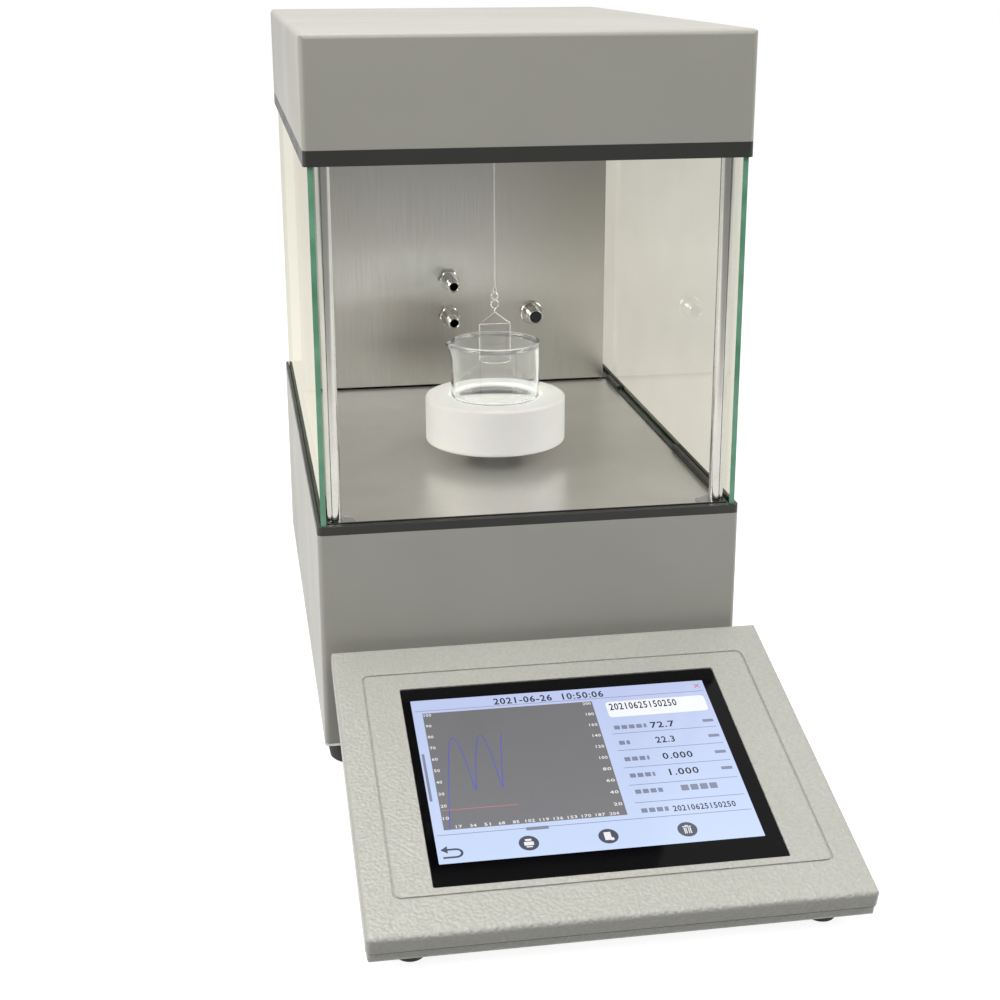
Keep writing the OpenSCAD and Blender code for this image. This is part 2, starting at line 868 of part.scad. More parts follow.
module motor_plate() {
    color([0.7, 0.7, 0.7])
        placed()
            difference() {
                box_at([-motor_plate_w / 2, sample_y - motor_plate_l / 2, motor_plate_z],
                    [motor_plate_w, motor_plate_l, motor_plate_t]);
                rod_z(0, sample_y, motor_plate_z - 1, 11.2, motor_plate_t + 2);
                for (x = [-1, 1])
                    rod_z(x * rod_x, sample_y, motor_plate_z - 1, rod_r + 0.02, motor_plate_t + 2);
            }
}

module stepper_motor() {
    color([0.15, 0.15, 0.16])
        placed()
            difference() {
                union() {
                    intersection() {
                        box_at([-motor_w / 2, sample_y - motor_w / 2, motor_z], [motor_w, motor_w, motor_h]);
                        translate([0, sample_y, motor_z])
                            rotate([0, 0, 45])
                                translate([-motor_w * 0.63, -motor_w * 0.63, 0])
                                    cube([motor_w * 1.26, motor_w * 1.26, motor_h]);
                    }
                    rod_z(0, sample_y, motor_z + motor_h, 11, 2);
                }
                rod_z(0, sample_y, motor_z + 4, motor_shaft_r + fit_run, motor_h);
            }
}

// Coupling and motor shaft turn as one piece with the lead screw
module shaft_coupling() {
    color([0.72, 0.72, 0.74])
        placed() {
            rod_z(0, sample_y, motor_z + 6, motor_shaft_r, coupling_z - motor_z - 6);
            rod_z(0, sample_y, coupling_z, 7, coupling_top - coupling_z);
        }
}

module lead_screw() {
    color(steel)
        placed()
            rod_z(0, sample_y, coupling_top, screw_d / 2, screw_top - coupling_top);
}

module lift_nut() {
    color(brass_tone)
        placed()
            difference() {
                union() {
                    rod_z(0, sample_y, carriage_z - nut_flange_t, 11, nut_flange_t);
                    rod_z(0, sample_y, carriage_z, 6, nut_l);
                }
                rod_z(0, sample_y, carriage_z - 5, screw_d / 2 + fit_run, 20);
            }
}

// Block that slides on the two rods and carries the nut and the column
module lift_carriage() {
    color([0.7, 0.71, 0.72])
        placed()
            difference() {
                box_at([-lift_w / 2, sample_y - lift_l / 2, carriage_z], [lift_w, lift_l, carriage_h]);
                rod_z(0, sample_y, carriage_z - 1, 6.02, nut_l + 2);
                rod_z(0, sample_y, carriage_z + nut_l, column_r + 0.02, carriage_h);
                for (x = [-1, 1])
                    rod_z(x * rod_x, sample_y, carriage_z - 1, rod_r + fit_run, carriage_h + 2);
            }
}

module guide_rods() {
    color(bright_steel)
        placed()
            for (x = [-1, 1])
                rod_z(x * rod_x, sample_y, motor_plate_z, rod_r, top_plate_z + top_plate_t - motor_plate_z);
}

module lift_top_plate() {
    color([0.7, 0.7, 0.7])
        placed()
            difference() {
                union() {
                    box_at([-lift_w / 2, sample_y - lift_l / 2, top_plate_z], [lift_w, lift_l, top_plate_t]);
                    rod_z(0, sample_y, top_plate_z, column_r + 5, floor_z - steel_t - 0.3 - top_plate_z);
                }
                rod_z(0, sample_y, top_plate_z - 1, column_r + fit_run, 40);
                for (x = [-1, 1])
                    rod_z(x * rod_x, sample_y, top_plate_z - 1, rod_r + 0.02, top_plate_t + 2);
            }
}

// Hollow column with the platform disc and the holder's spigot
module lift_column() {
    color(brass_tone)
        placed()
            difference() {
                union() {
                    rod_z(0, sample_y, carriage_z + nut_l, column_r, platform_z - carriage_z - nut_l);
                    rod_z(0, sample_y, platform_z, platform_d / 2, platform_t);
                    rod_z(0, sample_y, holder_z - 1, spigot_r, spigot_h + 1);
                }
                rod_z(0, sample_y, carriage_z, column_bore_r, platform_z - carriage_z - 6);
            }
}

// ---- Sample ----

holder_edge = 2;

// White disc with a round seat for the dish
module sample_holder() {
    color([0.93, 0.92, 0.91])
        placed()
            translate([0, sample_y, holder_z])
                difference() {
                    rotate_extrude($fn = 96) {
                        square([holder_d / 2 - holder_edge, holder_h]);
                        translate([0, holder_edge])
                            square([holder_d / 2, holder_h - 2 * holder_edge]);
                        for (z = [holder_edge, holder_h - holder_edge])
                            translate([holder_d / 2 - holder_edge, z])
                                circle(holder_edge, $fn = 32);
                    }
                    translate([0, 0, holder_h - seat_depth])
                        cylinder(r = seat_r, h = seat_depth + 1);
                    translate([0, 0, -1])
                        cylinder(r = spigot_r + 0.1, h = spigot_h + 1.3);
                }
}

spout_r = 4.5;
spout_lean = 20;
spout_drop = 12;
spout_in = 5.5;

// Leaning round bar that shapes the spout on the dish's left
module spout_bar(r) {
    translate([-dish_r + spout_in, 0, dish_h - spout_drop])
        rotate([0, -spout_lean, 0])
            translate([0, 0, -2])
                cylinder(r = r, h = 2 * spout_drop);
}

// Straight-sided glass dish with a beaded rim and a pouring spout on its left
module glass_dish() {
    color(clear_glass)
        placed()
            translate([0, sample_y, dish_z])
                difference() {
                    union() {
                        cylinder(r = dish_r, h = dish_h - bead_r);
                        translate([0, 0, dish_h - bead_r])
                            rotate_extrude()
                                translate([dish_r - dish_wall / 2, 0])
                                    circle(bead_r, $fn = 24);
                        intersection() {
                            spout_bar(spout_r);
                            box_at([-dish_d, -dish_d, 0], [2 * dish_d, 2 * dish_d, dish_h - 0.3]);
                        }
                    }
                    translate([0, 0, dish_floor])
                        cylinder(r = dish_r - dish_wall, h = dish_h);
                    spout_bar(spout_r - 1.1);
                }
}

// Straight round wire between two points
module wire(a, b, r) {
    d = b - a;
    l = norm(d);
    translate(a)
        rotate([0, acos(d[2] / l), atan2(d[1], d[0])])
            cylinder(r = r, h = l, $fn = 24);
}

// Hanger: eye on the beam's pin, straight wire, a few twists and the lower hook
module hang_wire() {
    color(bright_steel)
        placed()
            translate([0, sample_y, 0]) {
                rod_z(0, 0, hook_top, wire_d / 2, top_eye_z - top_eye_r - hook_top);
                translate([0, 0, top_eye_z])
                    rotate([90, 0, 0])
                        rotate_extrude()
                            translate([top_eye_r, 0])
                                circle(wire_d / 2, $fn = 16);
                translate([0, 0, hook_level + hook_r])
                    rotate([90, 0, 0])
                        rotate([0, 0, -230])
                            rotate_extrude(angle = 320)
                                translate([hook_r, 0])
                                    circle(wire_d / 2, $fn = 16);
                for (z = [hook_top + 0.4, hook_top + 1.5, hook_top + 2.6])
                    translate([0, 0, z])
                        rotate([8, 0, 0])
                            rotate_extrude()
                                translate([wire_d * 0.85, 0])
                                    circle(wire_d * 0.45, $fn = 16);
            }
}

// Ring on a stirrup: two legs, a cross bar and a pointed bail with an eye
module measuring_ring() {
    color([0.85, 0.84, 0.82])
        placed()
            translate([0, sample_y, 0]) {
                translate([0, 0, ring_level])
                    rotate_extrude($fn = 64)
                        translate([ring_r, 0])
                            circle(wr, $fn = 16);
                for (side = [-1, 1]) {
                    wire([side * ring_r, 0, ring_level], [side * ring_r, 0, bar_level + wr], wr);
                    wire([side * ring_r, 0, bar_level], [side * 0.1, 0, eye_level - eye_r], wr);
                }
                wire([-ring_r, 0, bar_level], [ring_r, 0, bar_level], wr);
                translate([0, 0, eye_level])
                    rotate([90, 0, 90])
                        rotate_extrude()
                            translate([eye_r, 0])
                                circle(wr, $fn = 16);
            }
}

// ---- Weigh cell in the head ----

cell_floor = head_z + sheet_t;
cell_foot = 10;

cheek_t = 8;
cheek_l = 20;
cheek_gap = 1.5;
cheek_over = 7;

// Cast frame with two cheeks that carry the beam's pivot
module weigh_cell_frame() {
    color([0.62, 0.63, 0.65])
        placed()
            difference() {
                union() {
                    box_at([-cell_w / 2, cell_y, cell_floor], [cell_w, cell_l, cell_foot]);
                    for (side = [0, 1])
                        mirror([side, 0, 0])
                            box_at([beam_w / 2 + cheek_gap, pivot_y - cheek_l / 2, cell_floor],
                                [cheek_t, cheek_l, beam_z + cheek_over - cell_floor]);
                }
                translate([0, pivot_y, beam_z])
                    rotate([0, 90, 0])
                        translate([0, 0, -cell_w])
                            cylinder(r = pivot_r + fit_run, h = 2 * cell_w);
            }
}

// Pivot pin of the beam
module beam_pivot() {
    color(bright_steel)
        placed()
            translate([-beam_w / 2 - cheek_gap - cheek_t, pivot_y, beam_z])
                rotate([0, 90, 0])
                    cylinder(r = pivot_r, h = beam_w + 2 * (cheek_gap + cheek_t));
}

beam_front = sample_y + 6;

// Lever from the hanger's pin to the coil
module weigh_beam() {
    color([0.74, 0.75, 0.77])
        placed()
            difference() {
                union() {
                    box_at([-beam_w / 2, beam_front, beam_z - beam_h / 2], [beam_w, coil_y - beam_front, beam_h]);
                    rod_y(0, sample_y - 4, beam_z, hang_pin_r, beam_front - sample_y + 4);
                    rod_y(0, sample_y - 4.6, beam_z, 2, 0.8);
                }
                translate([-beam_w, pivot_y, beam_z])
                    rotate([0, 90, 0])
                        cylinder(r = pivot_r + 0.02, h = 2 * beam_w);
            }
}

pot_r = 20;
pot_gap = 5;
pot_top = beam_z - beam_h / 2 - pot_gap;
coil_r = 11;
coil_bore_r = 9.5;
coil_dip = 7;
coil_in = 12;
slot_r = 13;
core_r = 7.5;
slot_depth = 9;

// Coil that hangs from the beam's rear end into the magnet
module voice_coil() {
    color(brass_tone)
        placed()
            difference() {
                rod_z(0, coil_y - coil_in, pot_top - coil_dip, coil_r, pot_gap + coil_dip);
                rod_z(0, coil_y - coil_in, pot_top - coil_dip - 1, coil_bore_r, pot_gap + coil_dip);
            }
}

module magnet_pot() {
    color([0.35, 0.35, 0.37])
        placed()
            difference() {
                rod_z(0, coil_y - coil_in, cell_floor + cell_foot, pot_r, pot_top - cell_floor - cell_foot);
                difference() {
                    rod_z(0, coil_y - coil_in, pot_top - slot_depth, slot_r, slot_depth + 3);
                    rod_z(0, coil_y - coil_in, pot_top - slot_depth - 1, core_r, slot_depth + 5);
                }
            }
}

// ---- Electronics in the base ----

board_hole_in = 6;
chip_w = 20;
plug_w = 14;
plug_l = 26;
terminal_w = 10;
terminal_h = 8;
terminal_pitch = 18;

module main_board() {
    z = plate_top + standoff_h;
    color(board_green)
        placed() {
            difference() {
                box_at([board_x, board_y, z], [board_w, board_l, board_t]);
                for (x = [board_hole_in, board_w - board_hole_in])
                    for (y = [board_hole_in, board_l - board_hole_in])
                        rod_z(board_x + x, board_y + y, z - 1, screw_r + 0.1, board_t + 2);
            }
            box_at([board_x + chip_w * 1.5, board_y + chip_w * 1.5, z + board_t], [chip_w, chip_w, 2]);
            box_at([board_x + plug_w * 5, board_y + chip_w, z + board_t], [plug_w, plug_l, terminal_w]);
            for (i = [0 : 4])
                box_at([board_x + chip_w + i * terminal_pitch, board_y + board_l - plug_l, z + board_t],
                    [terminal_w, terminal_h, terminal_h]);
        }
}

module board_standoffs() {
    color(brass_tone)
        placed()
            for (x = [board_hole_in, board_w - board_hole_in])
                for (y = [board_hole_in, board_l - board_hole_in]) {
                    rod_z(board_x + x, board_y + y, plate_top, 3, standoff_h);
                    rod_z(board_x + x, board_y + y, plate_top, 1.5, standoff_h + board_t);
                }
}

module power_supply() {
    color([0.72, 0.72, 0.7])
        placed()
            difference() {
                box_at([supply_x, supply_y, plate_top], [supply_w, supply_l, supply_h]);
                for (i = [0 : 8])
                    box_at([supply_x + 8, supply_y + 10 + i * 11, plate_top + supply_h - 0.8], [supply_w - 16, 4, 2]);
            }
}

// Three-blade mains inlet with its recess
module power_inlet() {
    color(rubber_black)
        placed() {
            difference() {
                union() {
                    box_at([inlet_x - 13.8, rear_y - 18, panel_row_z - 9.8], [27.6, 18 + sheet_t, 19.6]);
                    box_at([inlet_x - 18, body_d, panel_row_z - 13], [36, 2.5, 26]);
                }
                box_at([inlet_x - 11.5, rear_y - 14, panel_row_z - 7.5], [23, 30, 15]);
            }
            for (x = [-7, 0, 7])
                box_at([inlet_x + x - 1, rear_y - 14, panel_row_z - 3 + (x == 0 ? 2 : 0)], [2, 12, 4]);
        }
}

rocker_pin_r = 1.2;

module switch_frame() {
    color(rubber_black)
        placed()
            difference() {
                union() {
                    box_at([switch_x - 6.8, rear_y - 14, panel_row_z - 9.8], [13.6, 14 + sheet_t, 19.6]);
                    box_at([switch_x - 9, body_d, panel_row_z - 12.5], [18, 2, 25]);
                }
                box_at([switch_x - 5.6, rear_y - 11.5, panel_row_z - 8.6], [11.2, 30, 17.2]);
                translate([switch_x, body_d - 3, panel_row_z])
                    rotate([0, 90, 0])
                        translate([0, 0, -6.4])
                            cylinder(r = rocker_pin_r + fit_run, h = 12.8);
            }
}

// Rocker on a cross pin, with its two faces at a shallow angle
module switch_rocker() {
    color([0.12, 0.12, 0.12])
        placed()
            translate([switch_x, body_d - 3, panel_row_z])
                rotate([-8, 0, 0])
                    union() {
                        rotate([90, 0, 90])
                            translate([0, 0, -5.2])
                                linear_extrude(10.4)
                                    polygon([[-3, -6.5], [4.6, -7.6], [3.4, 0], [4.6, 7.6], [-3, 6.5], [-5, 0]]);
                        rotate([0, 90, 0])
                            translate([0, 0, -6.2])
                                cylinder(r = rocker_pin_r, h = 12.4);
                    }
}

module data_port() {
    color(bright_steel)
        placed()
            difference() {
                union() {
                    box_at([port_x - 8.8, rear_y - 12, panel_row_z - 4.8], [17.6, 12 + sheet_t + 4, 9.6]);
                    box_at([port_x - 14, body_d, panel_row_z - 6.5], [28, 1, 13]);
                }
                box_at([port_x - 7.6, body_d - 2, panel_row_z - 3.6], [15.2, 10, 7.2]);
            }
}

// ---- Console ----

module console_notches() {
    for (side = [-1, 1])
        box_at([side * hinge_x - notch_w / 2, console_l - notch_l, -console_t - 1],
            [notch_w, notch_l + 1, console_t + 1 - skin_t]);
}

border_groove_w = 1.2;
boss_d = 8;

module console_screw_spots() {
    for (u = [-1, 1])
        for (v = console_screw_v)
            translate([u * console_screw_u, v, 0])
                children();
}

// Upper shell: round top edges, the glass's recess and the thin border groove
module console_upper_shell() {
    color(console_grey)
        on_slope()
            difference() {
                union() {
                    difference() {
                        translate([0, 0, -upper_t])
                            cap_block(console_w, console_l, upper_t, corner_r, upper_r);
                        translate([0, shell_wall, -upper_t - 1])
                            linear_extrude(upper_t + 1 - skin_t)
                                soft_rect(console_w - 2 * shell_wall, console_l - 2 * shell_wall, 1);
                    }
                    console_screw_spots()
                        rod_z(0, 0, -upper_t, boss_d / 2, upper_t - skin_t + 0.5);
                }
                translate([touch_x, touch_v - touch_l / 2 - 0.2, -recess_depth])
                    linear_extrude(4)
                        soft_rect(touch_w + 0.4, touch_l + 0.4, 1);
                box_at([lcd_x - lcd_w / 2 - 2, lcd_v - lcd_l / 2 - 2, -skin_t - 1], [lcd_w + 4, lcd_l + 4, 5]);
                console_screw_spots()
                    rod_z(0, 0, -upper_t - 1, screw_r + 0.05, upper_t - skin_t);
                translate([0, border_v - border_l / 2, -0.6])
                    difference() {
                        linear_extrude(2)
                            soft_rect(border_w, border_l, 4);
                        translate([0, border_groove_w, -1])
                            linear_extrude(4)
                                soft_rect(border_w - 2 * border_groove_w, border_l - 2 * border_groove_w, 3);
                    }
                console_notches();
            }
}

// Lower shell: round bottom edges, screw bosses and hinge lugs
module console_lower_shell() {
    lower_t = console_t - upper_t - seam_gap;
    seam_in = 0.5;
    w = console_w - 2 * seam_in;
    l = console_l - 2 * seam_in;
    color(console_grey)
        on_slope()
            difference() {
                union() {
                    difference() {
                        translate([0, seam_in, -console_t + lower_t])
                            mirror([0, 0, 1])
                                cap_block(w, l, lower_t, corner_r, lower_r);
                        translate([0, seam_in + shell_wall, -console_t + shell_wall])
                            linear_extrude(console_t)
                                soft_rect(w - 2 * shell_wall - 3, l - 2 * shell_wall, 1);
                    }
                    console_screw_spots()
                        rod_z(0, 0, -console_t + shell_wall - 0.5, boss_d / 2, console_t - upper_t - shell_wall + 0.5);
                    for (side = [-1, 1])
                        box_at([side * hinge_x - notch_w / 2 - lug_w, console_l - notch_l - 3, -console_t + 1],
                            [notch_w + 2 * lug_w, notch_l + 3 - shell_wall - 0.4, console_t - 1 - skin_t - 0.1]);
                }
                console_notches();
                for (side = [-1, 1])
                    translate([side * hinge_x - notch_w / 2 - lug_w - 1, hinge_v, -hinge_drop])
                        rotate([0, 90, 0])
                            cylinder(r = pin_r + 0.02, h = notch_w + 2 * lug_w + 2);
                console_screw_spots() {
                    rod_z(0, 0, -console_t - 1, screw_r + 0.1, console_t);
                    rod_z(0, 0, -console_t - 1, 3, 2.2);
                }
            }
}

module touch_glass() {
    color([0.02, 0.02, 0.03])
        on_slope()
            translate([touch_x, touch_v - touch_l / 2, -recess_depth])
                linear_extrude(touch_t)
                    soft_rect(touch_w, touch_l, 0.8);
}

module_t = 5;
module_rim_u = 9;
module_rim_v = 8;

module display_module() {
    color([0.78, 0.82, 0.9])
        on_slope() {
            box_at([lcd_x - lcd_w / 2, lcd_v - lcd_l / 2, -skin_t - 0.3], [lcd_w, lcd_l, skin_t + 0.3 - recess_depth - 0.1]);
            box_at([lcd_x - lcd_w / 2 - module_rim_u, lcd_v - lcd_l / 2 - module_rim_v, -skin_t - 0.3 - module_t],
                [lcd_w + 2 * module_rim_u, lcd_l + 2 * module_rim_v, module_t]);
        }
}

board_gap = 1.2;
board_half_u = 70;
board_v = 50;
board_span_v = 96;
board_post_u = 60;
board_post_v = [58, 138];
board_post_r = 2.5;

module console_board() {
    top = -skin_t - 0.3 - module_t - board_gap;
    color(board_green)
        on_slope() {
            box_at([-board_half_u, board_v, top - board_t], [2 * board_half_u, board_span_v, board_t]);
            for (u = [-board_post_u, board_post_u])
                for (v = board_post_v) {
                    rod_z(u, v, top, board_post_r, board_gap);
                    rod_z(u, v, -console_t + shell_wall, board_post_r, top - board_t + console_t - shell_wall);
                }
        }
}

pad_v = 14;
pad_in = 22;
pad_r = 7;
table_span = 500;

// Rubber pads under the console's front edge, cut flat on the table
module console_pads() {
    color(rubber_black)
        intersection() {
            on_slope()
                for (u = [-1, 1])
                    rod_z(u * (console_w / 2 - pad_in), pad_v, -console_t - 20, pad_r, 20);
            translate([-table_span, -table_span, 0])
                cube([2 * table_span, 2 * table_span, 60]);
        }
}

module console_screws() {
    color(bright_steel)
        on_slope()
            console_screw_spots()
                translate([0, 0, -console_t + 1.2])
                    rotate([180, 0, 0])
                        machine_screw(screw_r, 11.5, 2.6, 1.2);
}

leaf_h = 30;
leaf_t = 2;
leaf_drop = 22;

// Places the two screws of one hinge bracket on the base's front
module bracket_points(side) {
    for (z = [hinge_z - leaf_drop, hinge_z - leaf_drop + 12])
        translate([console_x + side * hinge_x, 0, z])
            children();
}

// Steel brackets on the base's front with the hinge knuckles
module hinge_brackets() {
    color(bright_steel)
        placed()
            for (side = [-1, 1]) {
                x = console_x + side * hinge_x;
                difference() {
                    union() {
                        box_at([x - knuckle_w / 2, -leaf_t, hinge_z - leaf_drop - 5], [knuckle_w, leaf_t, leaf_h]);
                        box_at([x - knuckle_w / 2, hinge_y, hinge_z - 1.5], [knuckle_w, -hinge_y, 3]);
                        translate([x - knuckle_w / 2, hinge_y, hinge_z])
                            rotate([0, 90, 0])
                                cylinder(r = knuckle_r, h = knuckle_w);
                    }
                    translate([x - knuckle_w, hinge_y, hinge_z])
                        rotate([0, 90, 0])
                            cylinder(r = pin_r + 0.05, h = 2 * knuckle_w);
                    bracket_points(side)
                        rod_y(0, -leaf_t - 1, 0, screw_r + 0.1, leaf_t + 2);
                }
            }
}

module hinge_pins() {
    color(steel)
        on_slope()
            for (side = [-1, 1])
                translate([side * hinge_x - notch_w / 2 - lug_w, hinge_v, -hinge_drop])
                    rotate([0, 90, 0])
                        cylinder(r = pin_r, h = notch_w + 2 * lug_w);
}

module bracket_screws() {
    color(bright_steel)
        placed()
            for (side = [-1, 1])
                bracket_points(side)
                    translate([0, -leaf_t, 0])
                        rotate([90, 0, 0])
                            machine_screw(screw_r, 6, 2.6, 1.4);
}

base_housing();
base_plate();
rubber_feet();
rear_panel();
base_trim();
floor_plate();
back_wall();
rear_housing();
head_trim();
ceiling_plate();
head_housing();
front_posts();
rear_posts();
side_glass_left();
side_glass_right();
hose_nozzles();
probe_socket();
wall_nuts();
inner_hoses();
rear_hose_ports();
motor_standoffs();
motor_plate();
stepper_motor();
shaft_coupling();
lead_screw();
lift_nut();
lift_carriage();
guide_rods();
lift_top_plate();
lift_column();
sample_holder();
glass_dish();
weigh_cell_frame();
beam_pivot();
weigh_beam();
voice_coil();
magnet_pot();
hang_wire();
measuring_ring();
main_board();
board_standoffs();
power_supply();
power_inlet();
switch_frame();
switch_rocker();
data_port();
console_upper_shell();
console_lower_shell();
touch_glass();
display_module();
console_board();
console_pads();
console_screws();
hinge_brackets();
hinge_pins();
bracket_screws();
panel_screws();
base_screws();
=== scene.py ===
import math
import bmesh
import bpy
from mathutils import Matrix, Vector


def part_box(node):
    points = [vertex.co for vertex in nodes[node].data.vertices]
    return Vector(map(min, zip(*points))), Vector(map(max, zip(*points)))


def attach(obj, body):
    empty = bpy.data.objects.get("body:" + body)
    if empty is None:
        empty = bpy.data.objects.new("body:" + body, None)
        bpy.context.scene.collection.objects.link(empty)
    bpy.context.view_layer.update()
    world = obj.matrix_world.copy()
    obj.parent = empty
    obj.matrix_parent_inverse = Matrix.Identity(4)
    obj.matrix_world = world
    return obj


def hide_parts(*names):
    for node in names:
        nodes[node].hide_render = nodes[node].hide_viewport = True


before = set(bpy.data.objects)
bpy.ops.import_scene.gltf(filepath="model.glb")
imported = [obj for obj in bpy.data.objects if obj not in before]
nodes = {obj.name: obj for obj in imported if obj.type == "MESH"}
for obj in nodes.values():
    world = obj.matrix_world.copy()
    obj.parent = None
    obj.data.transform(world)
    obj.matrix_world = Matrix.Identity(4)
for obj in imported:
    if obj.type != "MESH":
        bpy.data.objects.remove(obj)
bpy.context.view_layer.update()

# Surface tensiometer: steel and glass weighing chamber, dish on a lift, touch console in front.
# Sizes in the dictionaries are in millimetres. The body's own zero is the middle of its front edge, on the table.

mm = 0.001
scene = bpy.context.scene
holderLow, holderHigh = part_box("sample_holder")
sampleY = 128  # the ring's axis behind the front edge
bodyZero = Vector(((holderLow.x + holderHigh.x) / 2, (holderLow.y + holderHigh.y) / 2 - sampleY * mm, 0))
console = {"place": (7, -213.654, 21.41), "slope": 15, "seam": -9.2, "seamShadeHalf": 0.45}
# u across, v up the slope, w out of the console's face
consoleFrame = (Matrix.Translation(bodyZero + Vector(console["place"]) * mm)
                @ Matrix.Rotation(math.radians(console["slope"]), 4, "X"))
consoleUp = consoleFrame.to_3x3() @ Vector((0, 0, 1))
consoleSeam = (consoleFrame @ Vector((0, 0, console["seam"] * mm))).dot(consoleUp)  # where its two shells meet


def bodyFrame(x, y, z):
    return Matrix.Translation(bodyZero + Vector((x, y, z)) * mm)


# shared helpers

def hexColour(code):
    values = [int(code[i:i + 2], 16) / 255 for i in (1, 3, 5)]
    return [v / 12.92 if v <= 0.04045 else ((v + 0.055) / 1.055) ** 2.4 for v in values] + [1]


def add(tree, kind, inputs=None, **settings):
    made = tree.nodes.new(kind)
    for key, value in settings.items():
        setattr(made, key, value)
    for key, value in (inputs or {}).items():
        if isinstance(value, bpy.types.NodeSocket):
            tree.links.new(value, made.inputs[key])
        else:
            made.inputs[key].default_value = value
    return made


def emptyMaterial(name):
    material = bpy.data.materials.new(name)
    material.use_nodes = True
    material.node_tree.nodes.clear()
    return material, material.node_tree


def close(tree, surface):
    add(tree, "ShaderNodeOutputMaterial", {"Surface": surface})


def spread(tree, value, low, high, fromLow=0.3, fromHigh=0.7):
    return add(tree, "ShaderNodeMapRange", {"Value": value, "From Min": fromLow, "From Max": fromHigh,
                                            "To Min": low, "To Max": high}).outputs["Result"]


def calc(tree, operation, *values):
    return add(tree, "ShaderNodeMath", dict(enumerate(values)), operation=operation).outputs[0]


def vectorCalc(tree, operation, *values):
    return add(tree, "ShaderNodeVectorMath", dict(enumerate(values)), operation=operation).outputs


def objectPlace(tree):
    return add(tree, "ShaderNodeTexCoord").outputs["Object"]


def noise(tree, place, scale, detail=2, roughness=0.5):
    return add(tree, "ShaderNodeTexNoise", {"Vector": place, "Scale": scale, "Detail": detail,
                                            "Roughness": roughness}).outputs["Fac"]


def blendColours(tree, factor, first, second, blend="MIX"):
    mix = add(tree, "ShaderNodeMix", data_type="RGBA", blend_type=blend)
    for index, value in ((0, factor), (6, first), (7, second)):
        if isinstance(value, bpy.types.NodeSocket):
            tree.links.new(value, mix.inputs[index])
        else:
            mix.inputs[index].default_value = value
    return mix.outputs[2]


def finishMaterial(name, finish):
    material, tree = emptyMaterial(name)
    place = objectPlace(tree)
    stretched = add(tree, "ShaderNodeMapping", {"Vector": place, "Scale": finish.get("stretch", (1, 1, 1))}).outputs[0]
    patch = noise(tree, place, 1 / (finish["patch"] * mm), 3, 0.55)
    grain = noise(tree, stretched, 1 / (finish["grain"] * mm), finish.get("detail", 2), 0.6)
    first, second = (hexColour(code) for code in finish["colours"])
    colour = blendColours(tree, spread(tree, patch, 0, 1), first, second)
    # darker along the grain noise: random tone, and on the orange-peel console painted shade of its dimples
    colour = blendColours(tree, spread(tree, grain, 0, finish.get("speckle", 0.06)), colour, hexColour(finish["dark"]))
    rounded = add(tree, "ShaderNodeBevel", {"Radius": finish.get("edge", 0.3) * mm}, samples=4).outputs["Normal"]
    if finish.get("wear"):  # edges rubbed pale, more in some patches
        facing = add(tree, "ShaderNodeNewGeometry").outputs["Normal"]
        same = vectorCalc(tree, "DOT_PRODUCT", rounded, facing)["Value"]
        rubbed = calc(tree, "MULTIPLY", spread(tree, same, finish["wear"], 0, 0.86, 0.99), spread(tree, patch, 0.3, 1))
        colour = blendColours(tree, rubbed, colour, hexColour(finish["worn"]))
    if finish.get("seam"):  # painted shade: a dark band along the line where the console's two shells meet
        height = vectorCalc(tree, "DOT_PRODUCT", place, consoleUp)["Value"]
        inSeamShade = calc(tree, "COMPARE", height, consoleSeam, console["seamShadeHalf"] * mm)
        colour = blendColours(tree, inSeamShade, colour, hexColour("#3E3D39"))
    both = calc(tree, "ADD", grain, patch)
    roughness = spread(tree, both, finish["rough"][0], finish["rough"][1], 0.7, 1.3)
    bump = add(tree, "ShaderNodeBump", {"Height": grain, "Normal": rounded, "Strength": finish["bump"],
                                        "Distance": finish.get("depth", 0.05) * mm}).outputs["Normal"]
    shader = add(tree, "ShaderNodeBsdfPrincipled", {
        "Base Color": colour, "Roughness": roughness, "Normal": bump, "Metallic": finish.get("metallic", 0),
        "IOR": finish.get("ior", 1.5), "Specular IOR Level": finish.get("specular", 0.5),
        "Coat Weight": finish.get("coat", 0), "Coat Roughness": 0.1, "Anisotropic": finish.get("anisotropic", 0),
        "Subsurface Weight": finish.get("soft", 0), "Subsurface Scale": 4 * mm})
    if finish.get("blurAcross"):
        tangent = add(tree, "ShaderNodeTangent", direction_type="RADIAL", axis=finish["blurAcross"])
        tree.links.new(tangent.outputs[0], shader.inputs["Tangent"])
    close(tree, shader.outputs[0])
    return material


# materials

